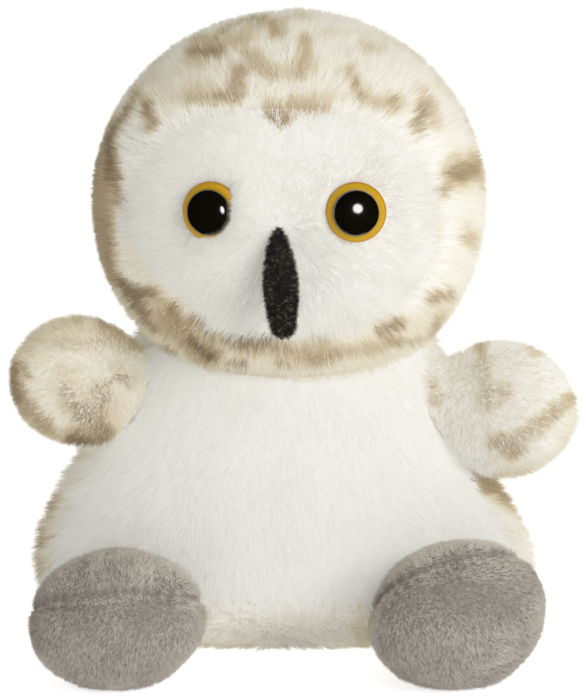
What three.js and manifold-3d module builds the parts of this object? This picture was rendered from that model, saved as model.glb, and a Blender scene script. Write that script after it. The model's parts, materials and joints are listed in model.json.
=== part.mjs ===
// A plush owl, sitting: sewn plush panels over stuffing, and moulded safety eyes held by lock washers.
// Millimetres, +Z up. The owl faces -Y, and left means its side towards -X.
// The origin lies on the flat that it sits on, under the middle of its head.
import * as THREE from "three";
import { mergeVertices } from "three/addons/utils/BufferGeometryUtils.js";
import Module from "manifold-3d";

// Cloth and sewing
const PLUSH_WALL = 3.0; // backing and pressed pile of the white and the spotted plush
const VELBOA_WALL = 1.8; // short pile of the feet
const BEAK_WALL = 1.1; // black short pile of the beak
const SEAM_GAP = 0.3; // between pieces that are sewn or pressed together
const JOIN_GAP = 0.4; // between a limb or the head and the torso that it moves against
const LEAST_CORE = 0.8; // half of the thinnest stuffing that fits in a limb

// Head
const HEAD_HALF_WIDTH = 38.9;
const HEAD_HALF_HEIGHT = 37.4;
const HEAD_FRONT_DEPTH = 33.0;
const HEAD_BACK_DEPTH = 35.0;
const HEAD_HEIGHT = 91.6; // its middle above the floor
const HEAD_FULLNESS_ABOVE = 2.02; // exponent of its outline from the front: 2 is an ellipse
const HEAD_FULLNESS_BELOW = 2.13;
const FACE_FLATNESS = 2.4; // exponent of its outline from above
const FACE_HALF_WIDTH = 31.6;
const FACE_HALF_HEIGHT = 24.0;
const FACE_DROP = 0.5; // the face's middle below the head's middle
const FACE_MIDDLE_X = -1.3; // the face sits a little to one side
const NECK_HOLE_RADIUS = 13.0;
const HEAD_TURN_DEG = 15;

// Eyes
const EYE_SPACING = 28.8;
const EYE_MIDDLE_X = -0.95;
const EYE_RISE = 2.7; // above the head's middle
const LEFT_EYE_TURN_DEG = -20; // how far an eye looks to the owl's +X side of straight ahead
const RIGHT_EYE_TURN_DEG = -1;
const LEFT_EYE_LIFT_DEG = 3; // how far it looks up
const RIGHT_EYE_LIFT_DEG = 3;
const IRIS_RADIUS = 6.0;
const IRIS_EDGE = 0.7;
const IRIS_THICKNESS = 1.5;
const IRIS_SINK = 1.0; // its back below the tips of the pile
const PUPIL_RADIUS = 4.6;
const PUPIL_DOME_HEIGHT = 1.9;
const SHANK_RADIUS = 1.9;
const SHANK_RIB_DEPTH = 0.35;
const SHANK_RIB_PITCH = 0.9;
const SHANK_RIBS = 5;
const SHANK_CLEARANCE = 0.2;
const WASHER_RADIUS = 5.4;
const WASHER_THICKNESS = 1.1;
const WASHER_TOOTH_DEPTH = 1.1;
const WASHER_TEETH = 8;
const CLAMPED_PLUSH = 1.2; // plush squeezed between the iris and the washer

// Beak
const BEAK_LENGTH = 22.4;
const BEAK_HALF_WIDTH = 3.6;
const BEAK_HALF_DEPTH = 3.2;
const BEAK_RISE = 0.6; // its top above the head's middle
const BEAK_MIDDLE_X = -2.0; // middle of its top
const BEAK_LEAN = 1.1; // how far its lower end lies to the owl's +X side of its top
const BEAK_SINK = 2.0; // how far its top lies in the pile
const BEAK_STANDOFF = 2.2; // how far forward its lower end swings out
const BEAK_MOUTH_LENGTH = 3.4; // its cover's opening towards the face
const BEAK_MOUTH_WIDTH = 2.4;

// Torso
const TORSO_HALF_WIDTH = 49.2;
const TORSO_FRONT_DEPTH = 29.0;
const TORSO_BACK_DEPTH = 31.0;
const TORSO_HEIGHT = 73.0; // to where its outline ends inside the head
const TORSO_SETBACK = 2.0; // its middle behind the head's middle
const TORSO_LEAN = 1.6; // how far its waist lies to the owl's -X side
const BASE_SEAM_FRONT_HEIGHT = 13.0;
const BASE_SEAM_BACK_HEIGHT = 5.0;
const POUCH_HEIGHT = 24.0; // top of the pouch of pellets
const SIDE_SEAM_DEG = 72; // from straight ahead to the seam of belly and back
const FLAT_DEPTH = 0.5; // cut from each piece that the owl sits on

// Wings
const WING_LENGTH = 25.3; // from its seam to its tip
const LEFT_WING_HALF_WIDTH = 13.3;
const RIGHT_WING_HALF_WIDTH = 14.2;
const WING_HALF_THICKNESS = 9.6;
const WING_ROOT_HALF_WIDTH = 11.9;
const WING_ROOT_HALF_THICKNESS = 6.0;
const WING_ROOT_RUN = 6.0; // how far its root runs on past the seam's middle, before it is cut to fit
const LEFT_WING_SEAM_HEIGHT = 53.0; // middle of its seam above the floor
const RIGHT_WING_SEAM_HEIGHT = 51.1;
const LEFT_WING_SWEEP_DEG = 24; // how far it points forward
const RIGHT_WING_SWEEP_DEG = 12;
const LEFT_WING_RISE_DEG = 21; // how far it points up
const RIGHT_WING_RISE_DEG = -3;
const WING_FORWARD_DEG = 35;
const WING_BACK_DEG = 10;

// Feet
const FOOT_LENGTH = 35.0; // from its seam to its toe
const FOOT_HALF_WIDTH = 18.1;
const LEFT_FOOT_HALF_THICKNESS = 14.3;
const RIGHT_FOOT_HALF_THICKNESS = 15.2;
const FOOT_ROOT_HALF_WIDTH = 11.0;
const FOOT_ROOT_HALF_THICKNESS = 6.6;
const FOOT_ROOT_RUN = 4.0;
const FOOT_SPREAD = 29.0; // the middle of its seam from the owl's middle
const LEFT_FOOT_PITCH_DEG = 6; // how far it points up
const RIGHT_FOOT_PITCH_DEG = 9;
const LEFT_FOOT_TOE_OUT_DEG = 12;
const RIGHT_FOOT_TOE_OUT_DEG = 14;
const LEFT_FOOT_ROLL_DEG = 6; // how far it leans about the way it points
const RIGHT_FOOT_ROLL_DEG = 12;
const LEFT_FOOT_SEAM_TILT_DEG = 8; // how steeply the seam of upper and sole climbs to the toe
const RIGHT_FOOT_SEAM_TILT_DEG = 15;
const FOOT_UP_DEG = 20;
const FOOT_DOWN_DEG = 12;

// Shared by all cuts
const CUT_OVERRUN = 2.0;
const MERGE_DISTANCE = 1e-4;

// The torso's outline from the floor up: heights, then half widths and depths at those heights
const TORSO_HEIGHT_SHARES = [0, 0.03, 0.11, 0.25, 0.41, 0.53, 0.685, 0.86, 1];
const TORSO_WIDTH_SHARES = [0.74, 0.86, 0.965, 1.0, 0.9, 0.8, 0.705, 0.593, 0.46];
const TORSO_FRONT_SHARES = [0.22, 0.46, 0.84, 1.0, 0.97, 0.9, 0.8, 0.68, 0.55];
const TORSO_BACK_SHARES = [0.72, 0.85, 0.96, 1.0, 0.96, 0.91, 0.83, 0.73, 0.6];
const TORSO_LEAN_SHARES = [0, 0, 0.15, 0.45, 0.95, 1, 0.5, 0.2, 0];
// The beak's outline from its top down
const BEAK_DOWN_SHARES = [0, 0.07, 0.22, 0.45, 0.66, 0.84, 0.95, 1];
const BEAK_WIDTH_SHARES = [0.12, 0.44, 0.76, 1.0, 0.98, 0.83, 0.7, 0.36];
const BEAK_DEPTH_SHARES = [0.14, 0.44, 0.74, 1.0, 0.98, 0.86, 0.74, 0.38];
// Where along it a limb is widest
const WING_WIDEST_SHARE = 0.45;
const FOOT_WIDEST_SHARE = 0.6;

// How finely the forms are faceted
const HEAD_AROUND = 24;
const HEAD_RINGS = 14;
const TORSO_AROUND = 24;
const TORSO_STEPS_PER_SHARE = 2;
const LIMB_AROUND = 16;
const LIMB_RINGS = 8;
const EYE_AROUND = 18;
const DOME_STEPS = 4;
const BEAK_AROUND = 12;
const SWING_STEPS = 5;
const SECTOR_STEPS = 4;
const HALVINGS = 30;

const wasm = await Module();
wasm.setup();

const UP = new THREE.Vector3(0, 0, 1);
const point = (x, y, z) => new THREE.Vector3(x, y, z);
const radians = THREE.MathUtils.degToRad;
const mix = THREE.MathUtils.lerp;
const evenly = (from, to, steps) =>
  Array.from({ length: steps + 1 }, (_, i) => mix(from, to, i / steps));
const turnsRound = (steps) => evenly(0, 2 * Math.PI, steps).slice(0, -1);
// How much of an oval is left when the thinner of its two halves is inset.
const keptShare = (half, otherHalf, inset) => Math.max(0, 1 - inset / Math.min(half, otherHalf));
const fullness = (value, exponent) => Math.sign(value) * Math.abs(value) ** (2 / exponent);

// Closed solids

function geometryOf(solid) {
  const mesh = solid.getMesh();
  const geometry = new THREE.BufferGeometry();
  const places = new Float32Array(mesh.vertProperties);
  geometry.setAttribute("position", new THREE.BufferAttribute(places, 3));
  geometry.setIndex(new THREE.BufferAttribute(new Uint32Array(mesh.triVerts), 1));
  return geometry;
}

function solidFrom(geometry) {
  const mesh = new wasm.Mesh({
    numProp: 3,
    vertProperties: new Float32Array(geometry.attributes.position.array),
    triVerts: new Uint32Array(geometry.index.array),
  });
  return new wasm.Manifold(mesh);
}

const moved = (solid, matrix) => solidFrom(geometryOf(solid).applyMatrix4(matrix));

// Merges like corners, drops the triangles that this flattens, and turns the faces outwards.
function solidOf(geometry) {
  const bare = geometry.clone();
  bare.deleteAttribute("normal");
  bare.deleteAttribute("uv");
  const merged = mergeVertices(bare, MERGE_DISTANCE);
  const corner = (i) => new THREE.Vector3().fromBufferAttribute(merged.attributes.position, i);
  const faces = [];
  let volume = 0;
  for (let i = 0; i < merged.index.count; i += 3) {
    const [a, b, c] = [0, 1, 2].map((k) => merged.index.getX(i + k));
    if (a === b || b === c || a === c) continue;
    faces.push([a, b, c]);
    volume += corner(a).dot(corner(b).cross(corner(c)));
  }
  const outwards = volume > 0 ? faces : faces.map(([a, b, c]) => [a, c, b]);
  return solidFrom(merged.setIndex(outwards.flat()));
}

// A solid through closed rings of points, all of one length, with a flat end on each end ring.
function loft(rings) {
  const across = rings[0].length;
  const middle = (ring) =>
    ring.reduce((sum, p) => sum.add(p), point(0, 0, 0)).divideScalar(ring.length);
  const points = [...rings.flat(), middle(rings[0]), middle(rings.at(-1))];
  const [firstMiddle, lastMiddle] = [points.length - 2, points.length - 1];
  const lastRing = (rings.length - 1) * across;
  const index = [];
  for (let j = 0; j < across; j++) {
    const next = (j + 1) % across;
    for (let row = 0; row < lastRing; row += across) {
      const [a, b] = [row + j, row + next];
      index.push(a, b, b + across, a, b + across, a + across);
    }
    index.push(next, j, firstMiddle, lastRing + j, lastRing + next, lastMiddle);
  }
  return solidOf(new THREE.BufferGeometry().setFromPoints(points).setIndex(index));
}

function box(low, high) {
  const size = high.clone().sub(low);
  const middle = low.clone().add(high).divideScalar(2);
  return solidOf(
    new THREE.BoxGeometry(size.x, size.y, size.z).translate(middle.x, middle.y, middle.z),
  );
}

// A round bar along Z.
function bar(radius, low, high, around) {
  const length = high - low;
  return solidOf(
    new THREE.CylinderGeometry(radius, radius, length, around)
      .rotateX(Math.PI / 2)
      .translate(0, 0, low + length / 2),
  );
}

// Everything between two bearings round an upright line at a setback, half a seam short of both.
function sector(fromDeg, toDeg, setback) {
  const reach = 2 * (TORSO_HALF_WIDTH + HEAD_HALF_WIDTH);
  const half = radians(toDeg - fromDeg) / 2;
  const ahead = (bearing) => new THREE.Vector2(Math.sin(bearing), -Math.cos(bearing));
  const apex = ahead(radians(fromDeg) + half).multiplyScalar(SEAM_GAP / 2 / Math.sin(half));
  apex.y += setback;
  const rim = evenly(radians(fromDeg), radians(toDeg), SECTOR_STEPS).map((bearing) =>
    ahead(bearing).multiplyScalar(reach).add(apex),
  );
  const depth = HEAD_HEIGHT + HEAD_HALF_HEIGHT + 2 * CUT_OVERRUN;
  const prism = new THREE.ExtrudeGeometry(new THREE.Shape([apex, ...rim]), {
    depth,
    bevelEnabled: false,
  });
  return solidOf(prism.translate(0, 0, -CUT_OVERRUN));
}

// Head: an oval ball, flatter in front and fuller below

const headFullness = (z) => (z > 0 ? HEAD_FULLNESS_ABOVE : HEAD_FULLNESS_BELOW);

// How far out a point lies from the head's middle, as a share of the way to its surface.
function headShare(x, y, z, growth) {
  const depth = y < 0 ? HEAD_FRONT_DEPTH : HEAD_BACK_DEPTH;
  const full = headFullness(z);
  const across =
    Math.abs(x / (HEAD_HALF_WIDTH + growth)) ** full +
    Math.abs(z / (HEAD_HALF_HEIGHT + growth)) ** full;
  const along = Math.abs(y / (depth + growth)) ** FACE_FLATNESS;
  return (across ** (FACE_FLATNESS / full) + along) ** (1 / FACE_FLATNESS);
}

// The head's front surface at a place seen from the front, with the height from the head's middle.
function headFront(x, height) {
  const across = headShare(x, 0, height, 0) ** FACE_FLATNESS;
  return -HEAD_FRONT_DEPTH * (1 - across) ** (1 / FACE_FLATNESS);
}

function headBall(inset) {
  return loft(
    evenly(0, Math.PI, HEAD_RINGS).map((reach) => {
      const out = fullness(Math.sin(reach), FACE_FLATNESS);
      const ahead = fullness(Math.cos(reach), FACE_FLATNESS);
      const depth = ahead > 0 ? HEAD_FRONT_DEPTH : HEAD_BACK_DEPTH;
      return turnsRound(HEAD_AROUND).map((clock) => {
        const full = headFullness(Math.cos(clock));
        return point(
          (HEAD_HALF_WIDTH - inset) * out * fullness(Math.sin(clock), full),
          -(depth - inset) * ahead,
          HEAD_HEIGHT + (HEAD_HALF_HEIGHT - inset) * out * fullness(Math.cos(clock), full),
        );
      });
    }),
  );
}

// The room that the head takes up over its whole turn, grown by a clearance.
function headTurningRoom(growth) {
  const turns = evenly(-radians(HEAD_TURN_DEG), radians(HEAD_TURN_DEG), SWING_STEPS + 1);
  const radiusAt = (bearing, height) => {
    let [low, high] = [0, 2 * HEAD_HALF_WIDTH];
    for (let k = 0; k < HALVINGS; k++) {
      const radius = (low + high) / 2;
      const [x, y] = [radius * Math.sin(bearing), -radius * Math.cos(bearing)];
      if (headShare(x, y, height, growth) < 1) low = radius;
      else high = radius;
    }
    return low;
  };
  return loft(
    evenly(0, Math.PI, HEAD_RINGS).map((lift) => {
      const height = -(HEAD_HALF_HEIGHT + growth) * Math.cos(lift);
      return turnsRound(HEAD_AROUND).map((bearing) => {
        const radius = Math.max(...turns.map((turn) => radiusAt(bearing + turn, height)));
        return point(
          radius * Math.sin(bearing),
          -radius * Math.cos(bearing),
          HEAD_HEIGHT + height,
        );
      });
    }),
  );
}

// An oval bar from the front of the head to its middle, wider than the face by a clearance.
function facePlug(growth) {
  const oval = new THREE.Shape().absellipse(
    FACE_MIDDLE_X,
    HEAD_HEIGHT - FACE_DROP,
    FACE_HALF_WIDTH + growth,
    FACE_HALF_HEIGHT + growth,
    0,
    2 * Math.PI,
  );
  const plug = new THREE.ExtrudeGeometry(oval, {
    depth: HEAD_FRONT_DEPTH + CUT_OVERRUN,
    bevelEnabled: false,
    curveSegments: HEAD_AROUND / 2,
  });
  return solidOf(plug.rotateX(Math.PI / 2));
}

// Eyes: a yellow flange and a black domed pupil, whose ribbed shank a toothed washer grips inside the face

// Where an eye sits on the face and how it looks out, with its own +Z outwards.
function eyePlace(side, turnDeg, liftDeg) {
  const x = EYE_MIDDLE_X + (side * EYE_SPACING) / 2;
  const seat = point(x, headFront(x, EYE_RISE), HEAD_HEIGHT + EYE_RISE);
  const out = point(0, -1, 0)
    .applyAxisAngle(point(1, 0, 0), -radians(liftDeg))
    .applyAxisAngle(UP, radians(turnDeg));
  const turn = new THREE.Quaternion().setFromUnitVectors(UP, out);
  return new THREE.Matrix4().compose(seat, turn, point(1, 1, 1));
}

const eyePlaces = {
  left: eyePlace(-1, LEFT_EYE_TURN_DEG, LEFT_EYE_LIFT_DEG),
  right: eyePlace(1, RIGHT_EYE_TURN_DEG, RIGHT_EYE_LIFT_DEG),
};

const revolve = (outline) =>
  solidOf(
    new THREE.LatheGeometry(
      outline.map(([radius, height]) => new THREE.Vector2(radius, height)),
      EYE_AROUND,
    ).rotateX(Math.PI / 2),
  );

const shankHole = SHANK_RADIUS + SHANK_CLEARANCE;
const irisFront = IRIS_THICKNESS - IRIS_SINK;
const pupilBack = irisFront + SHANK_CLEARANCE;
const washerFront = -IRIS_SINK - SEAM_GAP - CLAMPED_PLUSH - SEAM_GAP;
const washerBack = washerFront - WASHER_THICKNESS;
const ribsTop = washerFront + SHANK_RIB_PITCH;
const shankEnd = ribsTop - SHANK_RIBS * SHANK_RIB_PITCH;

function iris() {
  return revolve([
    [shankHole, -IRIS_SINK],
    [IRIS_RADIUS, -IRIS_SINK],
    [IRIS_RADIUS, IRIS_EDGE - IRIS_SINK],
    [(PUPIL_RADIUS + IRIS_RADIUS) / 2, irisFront],
    [shankHole, irisFront],
    [shankHole, -IRIS_SINK],
  ]);
}

function pupil() {
  const ribs = evenly(shankEnd, ribsTop, SHANK_RIBS).slice(0, -1).flatMap((low) => [
    [SHANK_RADIUS - SHANK_RIB_DEPTH, low],
    [SHANK_RADIUS, low + SHANK_RIB_PITCH],
  ]);
  const dome = evenly(0, Math.PI / 2, DOME_STEPS)
    .slice(0, -1)
    .map((lift) => [PUPIL_RADIUS * Math.cos(lift), pupilBack + PUPIL_DOME_HEIGHT * Math.sin(lift)]);
  return revolve([
    [0, shankEnd],
    ...ribs,
    [SHANK_RADIUS, pupilBack],
    ...dome,
    [0, pupilBack + PUPIL_DOME_HEIGHT],
  ]);
}

function lockWasher() {
  const disc = new THREE.Shape().absarc(0, 0, WASHER_RADIUS, 0, 2 * Math.PI);
  const teeth = turnsRound(2 * WASHER_TEETH).map((turn, k) => {
    const radius = shankHole + (k % 2) * WASHER_TOOTH_DEPTH;
    return new THREE.Vector2(radius * Math.cos(turn), radius * Math.sin(turn));
  });
  disc.holes.push(new THREE.Path(teeth));
  const options = { depth: WASHER_THICKNESS, bevelEnabled: false, curveSegments: EYE_AROUND };
  return solidOf(new THREE.ExtrudeGeometry(disc, options).translate(0, 0, washerBack));
}

// What an eye takes out of the face and the stuffing: the iris's seat, the shank's hole
// and the washer's pocket.
function eyeRoom() {
  const seatTop = pupilBack + PUPIL_DOME_HEIGHT + CUT_OVERRUN;
  return bar(IRIS_RADIUS + SEAM_GAP, -IRIS_SINK - SEAM_GAP, seatTop, EYE_AROUND)
    .add(bar(shankHole + SEAM_GAP, shankEnd - SEAM_GAP, 0, EYE_AROUND))
    .add(bar(WASHER_RADIUS + SEAM_GAP, washerBack - SEAM_GAP, washerFront + SEAM_GAP, EYE_AROUND));
}

// Beak: a narrow stuffed cone, sewn in at its top and hanging free of the face below

const beakBack = (down) =>
  headFront(BEAK_MIDDLE_X, BEAK_RISE) + BEAK_SINK * (1 - down) - BEAK_STANDOFF * down;

function beakForm(inset) {
  const rings = BEAK_DOWN_SHARES.map((down, k) => {
    const halfWidth = BEAK_HALF_WIDTH * BEAK_WIDTH_SHARES[k];
    const halfDepth = BEAK_HALF_DEPTH * BEAK_DEPTH_SHARES[k];
    const kept = keptShare(halfWidth, halfDepth, inset);
    const height = HEAD_HEIGHT + BEAK_RISE - inset - (BEAK_LENGTH - 2 * inset) * down;
    return turnsRound(BEAK_AROUND).map((turn) =>
      point(
        BEAK_MIDDLE_X + BEAK_LEAN * down + halfWidth * kept * Math.sin(turn),
        beakBack(down) - halfDepth - halfDepth * kept * Math.cos(turn),
        height,
      ),
    );
  });
  return loft(rings);
}

function beakCover() {
  const top = HEAD_HEIGHT + BEAK_RISE - BEAK_MOUTH_LENGTH / 2;
  const mouth = box(
    point(BEAK_MIDDLE_X - BEAK_MOUTH_WIDTH / 2, beakBack(0) - BEAK_HALF_DEPTH, top - BEAK_MOUTH_LENGTH),
    point(BEAK_MIDDLE_X + BEAK_MOUTH_WIDTH / 2, 0, top),
  );
  return beakForm(0).subtract(beakForm(BEAK_WALL)).subtract(mouth);
}

// Torso: a pear, wide and nearly flat below, with a dish at the top that the head turns in

const smoothShares = (shares) => {
  const steps = TORSO_STEPS_PER_SHARE * (shares.length - 1);
  const places = shares.map((share, k) => new THREE.Vector2(TORSO_HEIGHT_SHARES[k], share));
  return new THREE.SplineCurve(places).getPoints(steps);
};
const torsoOutline = {
  widths: smoothShares(TORSO_WIDTH_SHARES),
  fronts: smoothShares(TORSO_FRONT_SHARES),
  backs: smoothShares(TORSO_BACK_SHARES),
  leans: smoothShares(TORSO_LEAN_SHARES),
};

// The k-th point up the torso's outline at a bearing, inset by a depth.
function torsoPoint(k, bearing, inset) {
  const heightShare = torsoOutline.widths[k].x;
  const halfWidth = TORSO_HALF_WIDTH * torsoOutline.widths[k].y;
  const ahead = Math.cos(bearing);
  const depth =
    ahead > 0
      ? TORSO_FRONT_DEPTH * torsoOutline.fronts[k].y
      : TORSO_BACK_DEPTH * torsoOutline.backs[k].y;
  return point(
    (halfWidth - inset) * Math.sin(bearing) - TORSO_LEAN * torsoOutline.leans[k].y,
    TORSO_SETBACK - (depth - inset) * ahead,
    mix(inset - FLAT_DEPTH, TORSO_HEIGHT, heightShare),
  );
}

// The torso's surface at a bearing and any height, between two points of its outline.
function torsoSurface(bearing, height) {
  const column = torsoOutline.widths.map((_, k) => torsoPoint(k, bearing, 0));
  const above = Math.max(1, column.findIndex((p) => p.z > height));
  const [low, high] = [column[above - 1], column[above]];
  return low.clone().lerp(high, (height - low.z) / (high.z - low.z));
}

function torsoForm(inset) {
  return loft(
    torsoOutline.widths.map((_, k) =>
      turnsRound(TORSO_AROUND).map((bearing) => torsoPoint(k, bearing, inset)),
    ),
  );
}

// A slab wider than the torso between two heights over its middle, tilted as the base seam is.
function tiltedSlab(low, high, tilt) {
  const reach = 2 * (TORSO_HALF_WIDTH + FOOT_LENGTH);
  const slab = box(point(-reach, -reach, low), point(reach, reach, high));
  return moved(slab, new THREE.Matrix4().makeRotationX(tilt));
}

// Limbs: a wing or a foot, two panels over stuffing, swelling from a narrow seam to a round end.
// In its own frame a limb points along +X from the middle of its seam, and the seam runs along Y.

// Half of a limb's width or thickness at a distance from its seam: a sine swell, then an oval end.
function swell(distance, length, widest, root, most) {
  if (distance < 0) return root;
  if (distance < widest) return mix(root, most, Math.sin(((Math.PI / 2) * distance) / widest));
  const past = Math.min(1, (distance - widest) / (length - widest));
  return most * Math.sqrt(1 - past * past);
}

// The limb's form inset by a depth. Its root runs on past the seam, where it is cut to fit later,
// and an inset form starts where it is thick enough to hold stuffing.
function limbForm(limb, inset) {
  const widest = limb.length * limb.widestShare;
  const halfWidth = (d) => swell(d, limb.length, widest, limb.rootHalfWidth, limb.halfWidth);
  const halfThickness = (d) =>
    swell(d, limb.length, widest, limb.rootHalfThickness, limb.halfThickness);
  let start = inset > 0 ? 0 : -limb.rootRun;
  while (inset > 0 && start < widest && halfThickness(start) < inset + LEAST_CORE) {
    start += widest / HALVINGS;
  }
  const rings = evenly(0, Math.PI / 2, LIMB_RINGS).map((turn) => {
    const distance = mix(start, limb.length, Math.sin(turn));
    const [across, through] = [halfWidth(distance), halfThickness(distance)];
    const kept = distance < limb.length ? keptShare(across, through, inset) : 0;
    const place = mix(start, limb.length - inset, Math.sin(turn));
    return turnsRound(LIMB_AROUND).map((around) =>
      point(place, across * kept * Math.cos(around), through * kept * Math.sin(around)),
    );
  });
  return loft(rings);
}

// The half of the space on one side of a limb's seam plane, which tilts about the seam's own line.
function limbHalf(limb, side) {
  const reach = 2 * (limb.length + limb.halfWidth);
  const half = box(
    point(-reach, -reach, side > 0 ? SEAM_GAP / 2 : -reach),
    point(reach, reach, side > 0 ? reach : -SEAM_GAP / 2),
  );
  return moved(half, new THREE.Matrix4().makeRotationY(-radians(limb.seamTiltDeg)));
}

const turnAbout = (seat, axis, deg) =>
  new THREE.Matrix4()
    .makeTranslation(seat.x, seat.y, seat.z)
    .multiply(new THREE.Matrix4().makeRotationAxis(axis, radians(deg)))
    .multiply(new THREE.Matrix4().makeTranslation(-seat.x, -seat.y, -seat.z));

// All that a limb would run into over its whole swing, seen from the limb at rest.
function swingRoom(obstacles, place) {
  return evenly(place.fromDeg, place.toDeg, SWING_STEPS)
    .map((deg) => moved(obstacles, turnAbout(place.seat, place.axis, -deg)))
    .reduce((room, next) => room.add(next));
}

const WING = {
  length: WING_LENGTH,
  rootRun: WING_ROOT_RUN,
  widestShare: WING_WIDEST_SHARE,
  rootHalfWidth: WING_ROOT_HALF_WIDTH,
  rootHalfThickness: WING_ROOT_HALF_THICKNESS,
  halfThickness: WING_HALF_THICKNESS,
  seamTiltDeg: 0,
};
const FOOT = {
  length: FOOT_LENGTH,
  rootRun: FOOT_ROOT_RUN,
  widestShare: FOOT_WIDEST_SHARE,
  rootHalfWidth: FOOT_ROOT_HALF_WIDTH,
  halfWidth: FOOT_HALF_WIDTH,
  rootHalfThickness: FOOT_ROOT_HALF_THICKNESS,
};
const LEFT_FOOT = {
  ...FOOT,
  halfThickness: LEFT_FOOT_HALF_THICKNESS,
  seamTiltDeg: LEFT_FOOT_SEAM_TILT_DEG,
};
const RIGHT_FOOT = {
  ...FOOT,
  halfThickness: RIGHT_FOOT_HALF_THICKNESS,
  seamTiltDeg: RIGHT_FOOT_SEAM_TILT_DEG,
};

// The wing's seam runs up the torso's side seam. The wing points out, forward and a little up.
function wingPlace(side, seamHeight, sweepDeg, riseDeg) {
  const bearing = side * radians(SIDE_SEAM_DEG);
  const low = torsoSurface(bearing, seamHeight - WING_ROOT_HALF_WIDTH);
  const high = torsoSurface(bearing, seamHeight + WING_ROOT_HALF_WIDTH);
  const axis = high.clone().sub(low).normalize();
  const out = point(side, 0, 0)
    .applyAxisAngle(UP, -side * radians(sweepDeg))
    .applyAxisAngle(point(0, 1, 0), -side * radians(riseDeg));
  const seat = low.add(high).divideScalar(2).addScaledVector(out, JOIN_GAP);
  const through = new THREE.Vector3().crossVectors(out, axis).normalize();
  const along = new THREE.Vector3().crossVectors(through, out);
  const frame = new THREE.Matrix4().makeBasis(out, along, through).setPosition(seat);
  // A positive turn about the upward seam takes the right wing back and the left wing forward.
  const [fromDeg, toDeg] =
    side > 0 ? [-WING_FORWARD_DEG, WING_BACK_DEG] : [-WING_BACK_DEG, WING_FORWARD_DEG];
  return { seat, axis, frame, fromDeg, toDeg };
}

// The foot's seam runs level across the torso's lower front, as high as lets the foot lie on the floor.
function footPlace(side, form, pitchDeg, toeOutDeg, rollDeg) {
  const ahead = point(0, -1, 0).applyAxisAngle(UP, side * radians(toeOutDeg));
  const axis = new THREE.Vector3().crossVectors(UP, ahead);
  const out = ahead.clone().applyAxisAngle(axis, -radians(pitchDeg));
  const along = axis.clone().applyAxisAngle(out, radians(rollDeg));
  const through = new THREE.Vector3().crossVectors(out, along);
  const frame = new THREE.Matrix4().makeBasis(out, along, through);
  const placed = geometryOf(limbForm(form, 0)).applyMatrix4(frame);
  placed.computeBoundingBox();
  const height = -placed.boundingBox.min.z - FLAT_DEPTH;
  const bearing = side * Math.asin(FOOT_SPREAD / torsoSurface(Math.PI / 2, height).x);
  const seat = torsoSurface(bearing, height).addScaledVector(ahead, JOIN_GAP);
  frame.setPosition(seat);
  return { seat, axis, frame, fromDeg: -FOOT_UP_DEG, toDeg: FOOT_DOWN_DEG };
}

// Pieces

const owl = new THREE.Group();

const material = (color, roughness) =>
  new THREE.MeshStandardMaterial({ color, roughness, metalness: 0 });
const whitePlush = material("#eeece5", 0.95);
const spottedPlush = material("#d5c4a8", 0.95);
const greyVelboa = material("#9d958f", 0.9);
const blackVelboa = material("#231f1d", 0.9);
const polyesterFill = material("#f4f4f0", 1);
const pelletPouch = material("#dcdcd6", 0.8);
const yellowPlastic = material("#e3a91c", 0.45);
const blackPlastic = material("#0b0a0a", 0.08);
const washerPlastic = material("#e8e6df", 0.5);

function piece(name, solid, finish, group = owl) {
  const geometry = geometryOf(solid);
  geometry.computeVertexNormals();
  const mesh = new THREE.Mesh(geometry, finish.clone());
  mesh.name = name;
  group.add(mesh);
}

function groupAt(matrix) {
  const group = new THREE.Group();
  matrix.decompose(group.position, group.quaternion, group.scale);
  owl.add(group);
  return group;
}

const floor = tiltedSlab(-TORSO_HEIGHT, 0, 0);

// Torso
const headRoom = headTurningRoom(JOIN_GAP);
const backReach = TORSO_FRONT_DEPTH + TORSO_BACK_DEPTH;
const baseTilt = Math.atan((BASE_SEAM_BACK_HEIGHT - BASE_SEAM_FRONT_HEIGHT) / backReach);
const baseSeamHeight = mix(
  BASE_SEAM_FRONT_HEIGHT,
  BASE_SEAM_BACK_HEIGHT,
  (TORSO_FRONT_DEPTH - TORSO_SETBACK) / backReach,
);
const torsoCloth = torsoForm(0).subtract(torsoForm(PLUSH_WALL)).subtract(headRoom);
const torsoRoom = torsoForm(PLUSH_WALL + SEAM_GAP).subtract(headRoom);
const aboveBase = tiltedSlab(baseSeamHeight + SEAM_GAP / 2, 2 * TORSO_HEIGHT, baseTilt);
const belowBase = tiltedSlab(-TORSO_HEIGHT, baseSeamHeight - SEAM_GAP / 2, baseTilt);
const upright = torsoCloth.intersect(aboveBase);
const torsoSector = (fromDeg, toDeg) => sector(fromDeg, toDeg, TORSO_SETBACK);
piece("base_panel", torsoCloth.intersect(belowBase).subtract(floor), spottedPlush);
piece("belly_panel", upright.intersect(torsoSector(-SIDE_SEAM_DEG, SIDE_SEAM_DEG)), whitePlush);
piece("back_panel_right", upright.intersect(torsoSector(SIDE_SEAM_DEG, 180)), spottedPlush);
piece("back_panel_left", upright.intersect(torsoSector(180, 360 - SIDE_SEAM_DEG)), spottedPlush);
piece("pellet_pouch", torsoRoom.intersect(tiltedSlab(0, POUCH_HEIGHT, 0)), pelletPouch);
piece(
  "torso_filling",
  torsoRoom.intersect(tiltedSlab(POUCH_HEIGHT + SEAM_GAP, 2 * TORSO_HEIGHT, 0)),
  polyesterFill,
);

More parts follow.
